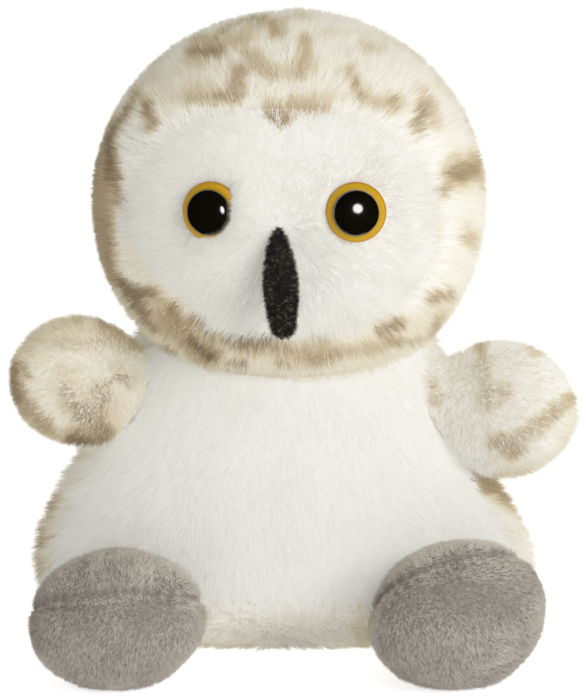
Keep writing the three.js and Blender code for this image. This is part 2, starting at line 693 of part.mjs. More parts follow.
// Head, with the places of the eyes and the beak cut out
const eyeRooms = Object.values(eyePlaces).map((place) => moved(eyeRoom(), place));
const withoutEyes = (solid) => eyeRooms.reduce((left, room) => left.subtract(room), solid);
const beakRoom = beakForm(-SEAM_GAP);
const headCloth = headBall(0).subtract(headBall(PLUSH_WALL)).subtract(beakRoom);
const aroundFace = headCloth
  .subtract(facePlug(SEAM_GAP / 2))
  .subtract(bar(NECK_HOLE_RADIUS, 0, HEAD_HEIGHT, HEAD_AROUND));
piece("face_panel", withoutEyes(headCloth.intersect(facePlug(-SEAM_GAP / 2))), whitePlush);
piece("head_panel_right", aroundFace.intersect(sector(0, 180, 0)), spottedPlush);
piece("head_panel_left", aroundFace.intersect(sector(180, 360, 0)), spottedPlush);
piece("head_filling", withoutEyes(headBall(PLUSH_WALL + SEAM_GAP)), polyesterFill);
piece("beak_cover", beakCover(), blackVelboa);
piece("beak_filling", beakForm(BEAK_WALL + SEAM_GAP), polyesterFill);
for (const [side, place] of Object.entries(eyePlaces)) {
  const group = groupAt(place);
  piece(side + "_iris", iris(), yellowPlastic, group);
  piece(side + "_pupil", pupil(), blackPlastic, group);
  piece(side + "_lock_washer", lockWasher(), washerPlastic, group);
}

// Wings and feet, each cut clear of the torso and the head over its whole swing
const obstacles = torsoForm(-JOIN_GAP).add(headTurningRoom(2 * JOIN_GAP));

function limb(shape, place, wall, names, finishes) {
  const group = groupAt(place.frame);
  const toLimb = place.frame.clone().invert();
  const room = moved(swingRoom(obstacles, place).add(floor), toLimb);
  const cloth = limbForm(shape, 0).subtract(limbForm(shape, wall)).subtract(room);
  piece(names[0], cloth.intersect(limbHalf(shape, 1)), finishes[0], group);
  piece(names[1], cloth.intersect(limbHalf(shape, -1)), finishes[0], group);
  piece(names[2], limbForm(shape, wall + SEAM_GAP).subtract(room), finishes[1], group);
}

const places = {
  left_wing: wingPlace(-1, LEFT_WING_SEAM_HEIGHT, LEFT_WING_SWEEP_DEG, LEFT_WING_RISE_DEG),
  right_wing: wingPlace(1, RIGHT_WING_SEAM_HEIGHT, RIGHT_WING_SWEEP_DEG, RIGHT_WING_RISE_DEG),
  left_foot: footPlace(
    -1, LEFT_FOOT, LEFT_FOOT_PITCH_DEG, LEFT_FOOT_TOE_OUT_DEG, LEFT_FOOT_ROLL_DEG,
  ),
  right_foot: footPlace(
    1, RIGHT_FOOT, RIGHT_FOOT_PITCH_DEG, RIGHT_FOOT_TOE_OUT_DEG, RIGHT_FOOT_ROLL_DEG,
  ),
};
const wingFinishes = [spottedPlush, polyesterFill];
const footFinishes = [greyVelboa, pelletPouch];
// Out crossed with the upward seam points back on the left wing and forward on the right one.
const leftWing = ["left_wing_back", "left_wing_front", "left_wing_filling"];
const rightWing = ["right_wing_front", "right_wing_back", "right_wing_filling"];
const footNames = (side) => ["_foot_upper", "_foot_sole", "_foot_pellets"].map((n) => side + n);
const leftWingForm = { ...WING, halfWidth: LEFT_WING_HALF_WIDTH };
const rightWingForm = { ...WING, halfWidth: RIGHT_WING_HALF_WIDTH };
limb(leftWingForm, places.left_wing, PLUSH_WALL, leftWing, wingFinishes);
limb(rightWingForm, places.right_wing, PLUSH_WALL, rightWing, wingFinishes);
limb(LEFT_FOOT, places.left_foot, VELBOA_WALL, footNames("left"), footFinishes);
limb(RIGHT_FOOT, places.right_foot, VELBOA_WALL, footNames("right"), footFinishes);

// Where the joints turn
owl.userData.hinges = Object.fromEntries(
  Object.entries(places).map(([name, { seat, axis, fromDeg, toDeg }]) => [
    name,
    { seat: seat.toArray(), axis: axis.toArray(), fromDeg, toDeg },
  ]),
);

export default owl;
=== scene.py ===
"""A sitting plush owl: sewn plush panels and their pile, safety eyes, a hanging beak, two wings and two feet."""
import json

import bmesh
import bpy
import numpy as np
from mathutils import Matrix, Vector


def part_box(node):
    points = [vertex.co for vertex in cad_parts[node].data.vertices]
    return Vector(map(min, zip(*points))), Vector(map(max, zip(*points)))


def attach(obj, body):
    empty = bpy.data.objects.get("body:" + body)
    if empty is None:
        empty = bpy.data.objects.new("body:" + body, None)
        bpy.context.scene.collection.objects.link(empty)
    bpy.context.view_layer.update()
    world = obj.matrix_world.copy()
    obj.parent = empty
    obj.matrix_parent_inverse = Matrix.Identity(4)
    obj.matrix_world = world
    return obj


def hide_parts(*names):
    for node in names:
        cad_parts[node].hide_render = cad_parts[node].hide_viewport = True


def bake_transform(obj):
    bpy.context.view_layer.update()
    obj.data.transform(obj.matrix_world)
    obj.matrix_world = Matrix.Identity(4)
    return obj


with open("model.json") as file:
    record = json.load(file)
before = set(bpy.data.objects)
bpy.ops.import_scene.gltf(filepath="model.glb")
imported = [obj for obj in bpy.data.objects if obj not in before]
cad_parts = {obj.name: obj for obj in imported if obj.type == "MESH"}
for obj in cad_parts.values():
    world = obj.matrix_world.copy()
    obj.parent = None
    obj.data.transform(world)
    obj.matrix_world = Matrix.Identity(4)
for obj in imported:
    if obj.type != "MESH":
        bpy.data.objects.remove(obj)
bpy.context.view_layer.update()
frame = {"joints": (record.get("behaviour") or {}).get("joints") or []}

# Torso cloth
# The torso is a pear of plush: a belly panel, two back panels and a gusset underneath that turns up at the front.
# The panels are cut flat, sewn right sides together, turned, stuffed and filled with a pouch of pellets below.
MM = 0.001
CLOTH_DEPTH = 1.6 * MM  # the backing lies this far below the pressed pile
CLOTH_THICKNESS = 0.5 * MM
SEAM = 0.3 * MM

torso_low, torso_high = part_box("belly_panel")[0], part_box("back_panel_left")[1]
TORSO_SETBACK = 2.0 * MM
TORSO_HALF_WIDTH = (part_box("back_panel_right")[1][0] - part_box("back_panel_left")[0][0]) / 2
TORSO_FRONT = TORSO_SETBACK - torso_low[1]
TORSO_BACK = torso_high[1] - TORSO_SETBACK
TORSO_HEIGHT = 73.0 * MM
TORSO_LEAN = 1.6 * MM
HEIGHT_SHARES = [0, 0.03, 0.11, 0.25, 0.41, 0.53, 0.685, 0.86, 1]
WIDTH_SHARES = [0.74, 0.86, 0.965, 1.0, 0.9, 0.8, 0.705, 0.593, 0.46]
FRONT_SHARES = [0.22, 0.46, 0.84, 1.0, 0.97, 0.9, 0.8, 0.68, 0.55]
BACK_SHARES = [0.72, 0.85, 0.96, 1.0, 0.96, 0.91, 0.83, 0.73, 0.6]
LEAN_SHARES = [0, 0, 0.15, 0.45, 0.95, 1, 0.5, 0.2, 0]
BASE_SEAM_FRONT, BASE_SEAM_BACK = 13.0 * MM, 5.0 * MM
SIDE_SEAM = np.radians(72)

HEAD_MIDDLE = np.array([0, 0, 91.6 * MM])
HEAD_HALF_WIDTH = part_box("head_panel_right")[1][0]
HEAD_HALF_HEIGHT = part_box("head_panel_right")[1][2] - HEAD_MIDDLE[2]
HEAD_FRONT = -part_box("face_panel")[0][1]
HEAD_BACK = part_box("head_panel_right")[1][1]
FULLNESS_ABOVE, FULLNESS_BELOW, FACE_FLATNESS = 2.02, 2.13, 2.4
NECK_GAP = 0.4 * MM  # the torso's panels end this far outside the head


def unit(vectors):
    """Each vector over its own length."""
    return vectors / np.maximum(np.linalg.norm(vectors, axis=-1, keepdims=True), 1e-12)


def smooth(values):
    """0 below 0, 1 above 1, and 3x^2 - 2x^3 between."""
    x = np.clip(values, 0, 1)
    return x * x * (3 - 2 * x)


def curve_at(shares, places):
    """A Catmull-Rom curve through the shares at evenly numbered knots, read at places counted in knots."""
    table = np.asarray(shares, float)
    k = np.clip(np.floor(places).astype(int), 0, len(table) - 2)
    t = np.clip(places - k, 0, 1)
    at = lambda j: table[np.clip(k + j, 0, len(table) - 1)]
    a, b = (at(1) - at(-1)) / 2, (at(2) - at(0)) / 2
    return (
        at(0) * (2 * t**3 - 3 * t**2 + 1)
        + at(1) * (3 * t**2 - 2 * t**3)
        + a * (t**3 - 2 * t**2 + t)
        + b * (t**3 - t**2)
    )


def torso_surface(bearing, rise, inset=0.0):
    """An oval at each rise (0 at the floor to 8 inside the head): half width and depths follow the share curves."""
    height = curve_at(HEIGHT_SHARES, rise)
    depth = np.where(
        np.cos(bearing) > 0,
        TORSO_FRONT * curve_at(FRONT_SHARES, rise),
        TORSO_BACK * curve_at(BACK_SHARES, rise),
    )
    x = (TORSO_HALF_WIDTH * curve_at(WIDTH_SHARES, rise) - inset) * np.sin(bearing)
    x = x - TORSO_LEAN * curve_at(LEAN_SHARES, rise)
    y = TORSO_SETBACK - (depth - inset) * np.cos(bearing)
    return np.stack([x, y, inset + (TORSO_HEIGHT - inset) * height], -1)


def head_share(points, growth=0.0):
    """How far out a point lies from the head's middle: 1 on the head's surface."""
    x, y, z = np.moveaxis(points - HEAD_MIDDLE, -1, 0)
    full = np.where(z > 0, FULLNESS_ABOVE, FULLNESS_BELOW)
    across = np.abs(x / (HEAD_HALF_WIDTH + growth)) ** full + np.abs(z / (HEAD_HALF_HEIGHT + growth)) ** full
    along = np.abs(y / (np.where(y < 0, HEAD_FRONT, HEAD_BACK) + growth)) ** FACE_FLATNESS
    return (across ** (FACE_FLATNESS / full) + along) ** (1 / FACE_FLATNESS)


def halved(low, high, test, steps=30):
    """The lowest values between low and high at which a test turns true, by halving."""
    for _ in range(steps):
        middle = (low + high) / 2
        done = test(middle)
        low, high = np.where(done, low, middle), np.where(done, middle, high)
    return high


def rise_where(bearing, reached):
    """The lowest rise at each bearing where a test of the surface's points turns true."""
    last = np.full_like(bearing, len(HEIGHT_SHARES) - 1.0)
    return halved(np.zeros_like(bearing), last, lambda rise: reached(torso_surface(bearing, rise)))


def neck_rise(bearing):
    """Where the torso's surface runs in under the head."""
    return rise_where(bearing, lambda p: head_share(p, NECK_GAP) < 1)


def base_seam_rise(bearing, above):
    """Where the torso's surface crosses the base seam, which climbs from the back to the front."""
    def over(p):
        forward = (TORSO_SETBACK + TORSO_BACK - p[..., 1]) / (TORSO_FRONT + TORSO_BACK)
        seam = BASE_SEAM_BACK + (BASE_SEAM_FRONT - BASE_SEAM_BACK) * forward
        return p[..., 2] > seam + above
    return rise_where(bearing, over)


def spread(ends, steps):
    """Rows that run evenly from one end to the other, where each end is an array."""
    share = np.linspace(0, 1, steps)[:, None]
    return ends[0] * (1 - share) + ends[1] * share


def mesh_of(name, points, faces):
    """A mesh object from an array of points and a list of arrays of faces with three or four corners."""
    mesh = bpy.data.meshes.new(name)
    counts = np.concatenate([np.full(len(f), f.shape[1], np.int32) for f in faces])
    corners = np.concatenate([f.ravel() for f in faces]).astype(np.int32)
    mesh.vertices.add(len(points))
    mesh.vertices.foreach_set("co", np.ascontiguousarray(points, np.float32).ravel())
    mesh.loops.add(len(corners))
    mesh.loops.foreach_set("vertex_index", corners)
    mesh.polygons.add(len(counts))
    mesh.polygons.foreach_set("loop_start", np.concatenate([[0], np.cumsum(counts)[:-1]]).astype(np.int32))
    mesh.polygons.foreach_set("use_smooth", np.ones(len(counts), bool))
    mesh.update(calc_edges=True)
    made = bpy.data.objects.new(name, mesh)
    bpy.context.collection.objects.link(made)
    return made


def between_rows(rows, columns, start=0):
    """Four-cornered faces between neighbouring rows and columns of a grid of numbered points."""
    i, j = np.meshgrid(np.arange(rows - 1), np.arange(columns - 1), indexing="ij")
    a = start + (i * columns + j).ravel()
    return np.stack([a, a + 1, a + columns + 1, a + columns], -1)


def merged(made, turned_out=False):
    """The piece with its doubled points merged, and its faces turned outwards where that is asked."""
    tidy = bmesh.new()
    tidy.from_mesh(made.data)
    bmesh.ops.remove_doubles(tidy, verts=tidy.verts, dist=0.001 * MM)
    if turned_out:
        bmesh.ops.recalc_face_normals(tidy, faces=tidy.faces)
    tidy.to_mesh(made.data)
    tidy.free()
    return made


def cloth_shell(name, surface, u, v, thickness=CLOTH_THICKNESS, depth=CLOTH_DEPTH, open_row=None):
    """A closed shell: the surface on the grid of u and v, the same grid set in by the thickness, and a rim.

    A panel has its rim on all four edges. A form that closes on itself names the one row that stays open.
    """
    outer, inner = surface(u, v, depth), surface(u, v, depth + thickness)
    rows, columns = u.shape
    total = rows * columns
    number = np.arange(total).reshape(rows, columns)
    if open_row is None:
        edge = np.concatenate([number[0, :-1], number[:-1, -1], number[-1, :0:-1], number[:0:-1, 0]])
        after = np.roll(edge, -1)
    else:
        edge, after = number[open_row, :-1], number[open_row, 1:]
        if open_row < 0:
            edge, after = after, edge
    faces = [
        between_rows(rows, columns),
        between_rows(rows, columns, total)[:, ::-1],
        np.stack([after, edge, edge + total, after + total], -1),
    ]
    i, j = rows // 2, columns // 3
    across, along = outer[i, j + 1] - outer[i, j], outer[i + 1, j] - outer[i, j]
    if np.sum(np.cross(across, along) * (outer[i, j] - inner[i, j])) < 0:
        faces = [f[:, ::-1] for f in faces]
    return merged(mesh_of(name, np.concatenate([outer.reshape(-1, 3), inner.reshape(-1, 3)]), faces))


# Torso pile
# Plush is a knitted backing with a cut pile: fibres that stand in little tufts and lie over with the nap.
# Each fibre here is a thin four-faced spike, rooted on the backing, with its tone kept on a small colour chart.
UP = np.array([0.0, 0.0, 1.0])
CHART_WIDTH = 0.006
# A fibre's points stand at these heights on the chart, which carry the painted shade from its root to its tip.
CHART_HEIGHTS = np.array([0.02, 0.05, 0.02, 0.98])  # of a fibre's three root points and its tip
SIDE_SHARE = 0.45  # how far a fibre is lit by its own sides rather than by the cloth's face
FLOOR_CLEARANCE = 0.1 * MM
VIEW_DROP = np.radians(10)  # the photograph looks down at the owl by this much


def lattice_numbers(cells, seed):
    """Three numbers from 0 to 1 for each cell of a lattice, always the same for the same cell and seed."""
    table = np.random.default_rng(seed).random((65536, 3))
    key = cells[..., 0] * 73856093 ^ cells[..., 1] * 19349663 ^ cells[..., 2] * 83492791
    return table[np.abs(key) % 65536]


def drift(points, size, seed):
    """Three slow wavering numbers from -1 to 1: lattice numbers a size apart, eased from cell to cell."""
    place = points / size
    cell = np.floor(place).astype(np.int64)
    ease = smooth(place - cell)
    total = np.zeros(points.shape)
    for corner in np.ndindex(2, 2, 2):
        weight = np.prod(np.where(np.array(corner) == 1, ease, 1 - ease), axis=-1)
        total += weight[..., None] * lattice_numbers(cell + np.array(corner), seed)
    return 2 * total - 1


def nearest_tuft(points, spacing, seed):
    """The nearest tuft's middle and its own numbers, with one tuft somewhere in each cube of a lattice."""
    cell = np.floor(points / spacing).astype(np.int64)
    best = np.full(len(points), np.inf)
    middle, numbers = np.zeros_like(points), np.zeros_like(points)
    for step in np.ndindex(3, 3, 3):
        there = cell + np.array(step) - 1
        spot = (there + lattice_numbers(there, seed)) * spacing
        apart = np.sum((spot - points) ** 2, axis=1)
        closer = apart < best
        best = np.where(closer, apart, best)
        middle[closer] = spot[closer]
        numbers[closer] = lattice_numbers(there, seed + 1)[closer]
    return middle, numbers


def scattered(surface, u, v, rng, per_mm2, depth=CLOTH_DEPTH, free=None):
    """Points strewn evenly over a surface, with their normals: cells drawn by area, then a place in each.

    free is a test of the points, and those that fail it are left out.
    """
    grid = surface(u, v, depth)
    du, dv = grid[1:, :-1] - grid[:-1, :-1], grid[:-1, 1:] - grid[:-1, :-1]
    area = np.linalg.norm(np.cross(du, dv), axis=-1).ravel()
    count = int(area.sum() / MM**2 * per_mm2)
    cell = rng.choice(len(area), count, p=area / area.sum())
    i, j = np.unravel_index(cell, (u.shape[0] - 1, u.shape[1] - 1))
    s, t = rng.random(count), rng.random(count)

    def read(table):
        near = table[i, j] * (1 - t) + table[i, j + 1] * t
        far = table[i + 1, j] * (1 - t) + table[i + 1, j + 1] * t
        return near * (1 - s) + far * s

    at_u, at_v = read(u), read(v)
    points = surface(at_u, at_v, depth)
    lift = points - surface(at_u, at_v, depth + CLOTH_THICKNESS)
    step = 1e-3
    side = surface(at_u + step, at_v, depth) - surface(at_u - step, at_v, depth)
    rise = surface(at_u, at_v + step, depth) - surface(at_u, at_v - step, depth)
    normals = unit(np.cross(side, rise))
    normals *= np.where(np.sum(normals * lift, axis=1) < 0, -1, 1)[:, None]
    kept = slice(None) if free is None else free(points)
    return points[kept], normals[kept]


def pile(name, roots, normals, nap, tone, seed, length, lean, width=0.15 * MM, tuft=1.5 * MM,
         gather=0.5, unrest=0.25, uneven=0.25, wander=0.45, glint=0.35):
    """Spikes that stand up from their roots and lean over with the nap, drawn together at the tip within a tuft.

    length is in metres and lean in radians, both numbers or one value for each fibre. tone is where the
    fibre's colour lies on the chart, from 0 to 1. The root's face is lit as the cloth is, and each of the
    three sides partly by its own direction.
    """
    rng = np.random.default_rng(seed)
    count = len(roots)
    middle, own = nearest_tuft(roots, tuft, seed)
    flat = lambda vectors: vectors - np.sum(vectors * normals, axis=1, keepdims=True) * normals
    lay = unit(flat(nap + wander * drift(roots, 9 * MM, seed + 2)))
    sway = flat(own - 0.5) * 2 * unrest + flat(rng.normal(0, 1, (count, 3))) * 0.5 * unrest
    tilt = lean * (1 + 0.15 * drift(roots, 6 * MM, seed + 3)[:, 0])
    way = unit(normals * np.cos(tilt)[:, None] + lay * np.sin(tilt)[:, None] + sway)
    reach = length * (1 + uneven * (own[:, 0] - 0.5) + uneven * rng.normal(0, 0.5, count))
    tips = roots + way * np.clip(reach, 0.3 * length, 1.5 * length)[:, None]
    tips += flat(middle - roots) * gather
    aside = unit(np.cross(way, UP + 1e-3))
    over = np.cross(way, aside)
    around = lambda angle: aside[:, None] * np.cos(angle)[..., None] + over[:, None] * np.sin(angle)[..., None]
    turn = rng.random(count)[:, None] * 2 * np.pi
    points = np.empty((count, 4, 3))
    points[:, :3] = roots[:, None] + width / 2 * around(turn + np.arange(3) * 2 * np.pi / 3)
    points[:, 3] = tips
    points[:, :, 2] = np.maximum(points[:, :, 2], FLOOR_CLEARANCE * (1 + rng.random((count, 4))))
    first = np.arange(count)[:, None] * 4
    faces = np.concatenate([first + np.array(f) for f in ([0, 2, 1], [0, 1, 3], [1, 2, 3], [2, 0, 3])])
    made = mesh_of(name, points.reshape(-1, 3), [faces])
    chart = np.empty((count, 4, 2))
    chart[:, :, 0] = np.clip(tone, 0.01, 0.99)[:, None] + CHART_WIDTH * np.array([-1, 0, 1, 0])
    chart[:, :, 1] = CHART_HEIGHTS
    layer = made.data.uv_layers.new(name="OFBake", do_init=False)
    layer.uv.foreach_set("vector", chart.reshape(-1, 2)[faces.ravel()].astype(np.float32).ravel())
    facing = unit(normals + glint * flat(own - 0.5) + 0.1 * way)
    outer = around(turn + np.array([1, 3, 5]) * np.pi / 3)
    sides = unit((1 - SIDE_SHARE) * facing[:, None] + SIDE_SHARE * outer)
    by_face = np.concatenate([facing[:, None], sides], axis=1).transpose(1, 0, 2).reshape(-1, 3)
    made.data.normals_split_custom_set(np.repeat(by_face, 3, axis=0))
    made.visible_shadow = made.visible_diffuse = False
    return made


def ramp(nodes, stops):
    """A colour ramp with these stops, each a place and a colour."""
    made = nodes.new("ShaderNodeValToRGB")
    parts = made.color_ramp.elements
    while len(parts) < len(stops):
        parts.new(0.5)
    for part, (place, colour) in zip(parts, stops):
        part.position, part.color = place, (*colour, 1)
    return made


def finish_of(name, sockets):
    """A material with these values on its shader's sockets, and its nodes, its links and the shader."""
    made = bpy.data.materials.new(name)
    made.use_nodes = True
    shader = made.node_tree.nodes["Principled BSDF"]
    for socket, value in sockets.items():
        shader.inputs[socket].default_value = value
    return made, made.node_tree.nodes, made.node_tree.links, shader


def mixed(nodes, links, first, second, way, share):
    """Two colours mixed in one of the mix node's ways."""
    made = nodes.new("ShaderNodeMix")
    made.data_type, made.blend_type = "RGBA", way
    made.inputs["Factor"].default_value = share
    links.new(first, made.inputs["A"])
    links.new(second, made.inputs["B"])
    return made.outputs["Result"]


def pile_material(name, tones, root_shade_stops, roughness=0.75, specular=0.2, sheen=0.3):
    """The chart's colours: tones from left to right, times a painted shade along each fibre that is darkest at its
    root.
    """
    made, nodes, links, shader = finish_of(name, {
        "Roughness": roughness,
        "Specular IOR Level": specular,
        "Sheen Weight": sheen,
        "Sheen Roughness": 0.5,
        "Sheen Tint": (1, 0.97, 0.9, 1),
    })
    chart = nodes.new("ShaderNodeUVMap")
    chart.uv_map = "OFBake"
    apart = nodes.new("ShaderNodeSeparateXYZ")
    links.new(chart.outputs[0], apart.inputs[0])
    # The chart's height reads the painted shade from the fibre's root to its tip.
    tone, depth = ramp(nodes, tones), ramp(nodes, [(p, (k, k, k)) for p, k in root_shade_stops])
    links.new(apart.outputs[0], tone.inputs[0])
    links.new(apart.outputs[1], depth.inputs[0])
    both = mixed(nodes, links, tone.outputs[0], depth.outputs[0], "MULTIPLY", 1)
    links.new(both, shader.inputs["Base Color"])
    return made


def cloth_material(name, light, dark, scale):
    """Knitted backing: fine loops of a lighter and a darker tone, with a slight bump."""
    made, nodes, links, shader = finish_of(name, {"Roughness": 0.95})
    where = nodes.new("ShaderNodeTexCoord")
    loops = nodes.new("ShaderNodeTexVoronoi")
    loops.inputs["Scale"].default_value = scale
    links.new(where.outputs["Object"], loops.inputs["Vector"])
    colour = ramp(nodes, [(0.0, light), (0.8, dark)])
    links.new(loops.outputs["Distance"], colour.inputs[0])
    links.new(colour.outputs[0], shader.inputs["Base Color"])
    bump = nodes.new("ShaderNodeBump")
    bump.inputs["Distance"].default_value = 0.1 * MM
    links.new(loops.outputs["Distance"], bump.inputs["Height"])
    links.new(bump.outputs[0], shader.inputs["Normal"])
    return made


def dress(piece, material, body, slot, replaced=(), bend=None):
    """Gives a finished piece its material and body, and hides the CAD nodes that it stands for. The slot is not
    used.

    A limb's piece has a bend, two points that are only read: it gets no body and keeps its points where they are.
    """
    piece.data.materials.append(material)
    if bend is None:
        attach(piece, body)
    else:
        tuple(bend[0])
        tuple(bend[1])
        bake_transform(piece)
    if replaced:
        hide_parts(*replaced)


def spots(points, strokes):
    """How strongly strokes colour each point, 0 to 1.

    A stroke is two ends, a half width and a strength, in a row. A point counts by its distance from the
    line between the ends, with the edge made ragged by two wavering numbers and a little noise.
    """
    ragged = 0.7 * MM * drift(points, 2.2 * MM, 5)[:, 0] + 0.5 * MM * drift(points, 1.1 * MM, 6)[:, 1]
    ragged += np.random.default_rng(7).normal(0, 0.18 * MM, len(points))
    shade = np.zeros(len(points))
    for a, b, half, strength in strokes:
        line = b - a
        along = np.clip((points - a) @ line / max(line @ line, 1e-12), 0, 1)
        apart = np.linalg.norm(points - a - along[:, None] * line, axis=1) + ragged
        shade = np.maximum(shade, strength * smooth((1.8 * half - apart) / (1.5 * half)))
    return shade


def blotches(points, size, seed):
    """Irregular upright spots a size apart, where a wavering number is high, from 0 to 1."""
    coarse = drift(points * np.array([1, 1, 0.6]), size, seed)[:, 0]
    fine = drift(points, size / 3, seed + 1)[:, 0]
    return smooth(3.2 * (coarse + 0.35 * fine) - 0.55)


white_cloth = cloth_material("white plush backing", (0.93, 0.925, 0.895), (0.86, 0.855, 0.82), 900)
spotted_cloth = cloth_material("spotted plush backing", (0.82, 0.79, 0.7), (0.7, 0.665, 0.58), 900)
WHITE_TONES = [(0, (0.945, 0.95, 0.93)), (0.5, (0.93, 0.932, 0.895)), (1, (0.79, 0.785, 0.735))]
SPOTTED_TONES = [
    (0, (0.985, 0.98, 0.945)),
    (0.25, (0.8, 0.71, 0.525)),
    (0.5, (0.56, 0.437, 0.275)),
    (0.75, (0.34, 0.25, 0.147)),
    (1, (0.18, 0.128, 0.068)),
]
# Each pile's second list is its painted shade, darkest at the fibre's root.
white_pile = pile_material("white plush pile", WHITE_TONES, [(0, 0.93), (0.35, 0.985), (1, 1)])
spotted_pile = pile_material("spotted plush pile", SPOTTED_TONES, [(0, 0.92), (0.35, 0.98), (1, 1)])
BASE_TONE = 0.08  # where the plain ground between the brown spots lies on the chart


def torso_share(points):
    """How far out a point lies from the torso's upright middle line: 1 on its surface at that height."""
    rises = np.linspace(0, len(HEIGHT_SHARES) - 1, 400)
    heights = TORSO_HEIGHT * curve_at(HEIGHT_SHARES, rises)
    z = points[..., 2]
    width = TORSO_HALF_WIDTH * np.interp(z, heights, curve_at(WIDTH_SHARES, rises))
    front = TORSO_FRONT * np.interp(z, heights, curve_at(FRONT_SHARES, rises))
    back = TORSO_BACK * np.interp(z, heights, curve_at(BACK_SHARES, rises))
    x = points[..., 0] + TORSO_LEAN * np.interp(z, heights, curve_at(LEAN_SHARES, rises))
    y = points[..., 1] - TORSO_SETBACK
    share = np.hypot(x / width, y / np.where(y < 0, front, back))
    return np.where(z > TORSO_HEIGHT, 9.0, share)


LEFT_SIDE, RIGHT_SIDE, BEHIND = -SIDE_SEAM, SIDE_SEAM, np.pi
SIDE_VIEW = -6 * MM  # the depth at which the camera sees the torso's sides
BLOTCH_SIZE = 8 * MM
slack = 0.5 * SEAM / TORSO_FRONT


def torso_grid(from_bearing, to_bearing, columns=40, rows=34):
    """Bearings and rises of a side panel, from the base seam to the neck."""
    bearing = np.linspace(from_bearing + slack, to_bearing - slack, columns)
    rise = spread((base_seam_rise(bearing, SEAM / 2), neck_rise(bearing)), rows)
    return np.broadcast_to(bearing, rise.shape), rise


def base_surface(bearing, reach, inset=0.0):
    """The gusset: flat from its middle to a reach of 1, then up the torso's own surface to a rise of reach - 1."""
    rim = torso_surface(bearing, np.maximum(reach - 1, 0), inset)
    middle = np.array([0, TORSO_SETBACK, 0]) + inset * UP
    share = np.minimum(reach, 1)[..., None]
    return middle * (1 - share) + rim * share


def base_grid(columns=72, rows=30):
    """Bearings and reaches of the gusset, from its middle to the base seam."""
    bearing = np.linspace(0, 2 * np.pi, columns)
    reach = spread((np.full_like(bearing, 1e-3), 1 + base_seam_rise(bearing, -SEAM / 2)), rows)
    return np.broadcast_to(bearing, reach.shape), reach


def downwards(points):
    """The nap of the torso: down, and away from the middle of the belly."""
    out = np.stack([points[:, 0], np.zeros(len(points)), np.zeros(len(points))], 1)
    return unit(-UP + 8 * out)


# Where the brown spots show at the torso's two sides: millimetres across and up to each end, half width, strength.
TORSO_SPOTS = [
    (32.0, 43.9, 34.0, 40.7, 0.9, 0.4),
    (34.8, 39.4, 37.2, 35.8, 1.1, 0.7),
    (38.0, 35.0, 42.4, 31.7, 1.4, 0.8),
    (42.4, 31.7, 45.4, 28.1, 1.1, 0.7),
    (46.0, 26.6, 48.4, 22.6, 1.1, 0.3),
    (-40.6, 41.5, -43.6, 38.6, 1.4, 0.8),
    (-44.4, 36.8, -45.6, 32.1, 1.1, 0.8),
    (-46.6, 31.7, -48.0, 23.6, 1.4, 0.75),
    (-48.4, 22.6, -48.8, 19.5, 1.1, 0.5),
]


def upright_strokes(rows):
    """Strokes from rows of millimetres, all on one upright plane."""
    return [
        (np.array([a, 0.0, b]) * MM, np.array([c, 0.0, d]) * MM, half * MM, strength)
        for a, b, c, d, half, strength in rows
    ]


def seen_from_front(points, depth):
    """The points moved on to the upright plane of the strokes, as the camera sees them at a depth."""
    height = points[:, 2] + (points[:, 1] - depth) * np.tan(VIEW_DROP)
    return np.stack([points[:, 0], np.zeros(len(points)), height], 1)


joints = {joint["child"]: joint for joint in frame["joints"]}
BARE_UNDER_WING, BARE_UNDER_FOOT, BARE_IN_NECK = 6.5 * MM, 7.5 * MM, 0.5 * MM


def off_limbs(points):
    """True for points that no wing, foot or head covers at its root."""
    free = head_share(points, -BARE_IN_NECK) > 1
    for name in ("left_wing", "right_wing", "left_foot", "right_foot"):
        bare = BARE_UNDER_WING if "wing" in name else BARE_UNDER_FOOT
        free &= np.linalg.norm(points - np.array(joints[name]["pos_m"]), axis=1) > bare
    return free


belly_u, belly_v = torso_grid(LEFT_SIDE, RIGHT_SIDE)
belly_cloth = cloth_shell("belly_cloth", torso_surface, belly_u, belly_v)
dress(belly_cloth, white_cloth, "torso", "white_plush", ["belly_panel"])
rng = np.random.default_rng(11)
roots, normals = scattered(torso_surface, belly_u, belly_v, rng, per_mm2=12.3, free=off_limbs)
# Faint level bands across the belly, lighter and darker, are painted light and shade of shallow creases.
crease_shade = drift(roots * np.array([0.3, 1, 1]), 3.5 * MM, 12)[:, 0]
tone = 0.25 + 0.15 * crease_shade + rng.normal(0, 0.1, len(roots))
hem = smooth((20 * MM - roots[:, 2]) / (8 * MM))
belly_pile = pile(
    "belly_pile", roots, normals, downwards(roots), tone, 13, length=(3.5 + 0.9 * hem) * MM, lean=0.9,
    width=0.115 * MM, tuft=1.3 * MM, unrest=0.25, gather=0.35, glint=0.15,
)
dress(belly_pile, white_pile, "torso", "white_plush")

for side, ends in (("right", (RIGHT_SIDE, BEHIND)), ("left", (BEHIND, 2 * np.pi - SIDE_SEAM))):
    u, v = torso_grid(*ends)
    cloth = cloth_shell(f"back_cloth_{side}", torso_surface, u, v)
    dress(cloth, spotted_cloth, "torso", "spotted_plush", [f"back_panel_{side}"])
    seed = {"right": 21, "left": 31}[side]
    rng = np.random.default_rng(seed)
    roots, normals = scattered(torso_surface, u, v, rng, per_mm2=9.5, free=off_limbs)
    behind = smooth((roots[:, 1] - 6 * MM) / (6 * MM))
    drawn = spots(seen_from_front(roots, SIDE_VIEW), upright_strokes(TORSO_SPOTS))
    shade = np.maximum(drawn * (1 - behind), 0.75 * blotches(roots, BLOTCH_SIZE, 40) * behind)
    tone = BASE_TONE + 0.68 * shade + rng.normal(0, 0.05, len(roots))
    made = pile(
        f"back_pile_{side}", roots, normals, downwards(roots), tone, seed + 1,
        length=3.9 * MM, lean=0.65, width=0.13 * MM,
    )
    dress(made, spotted_pile, "torso", "spotted_plush")

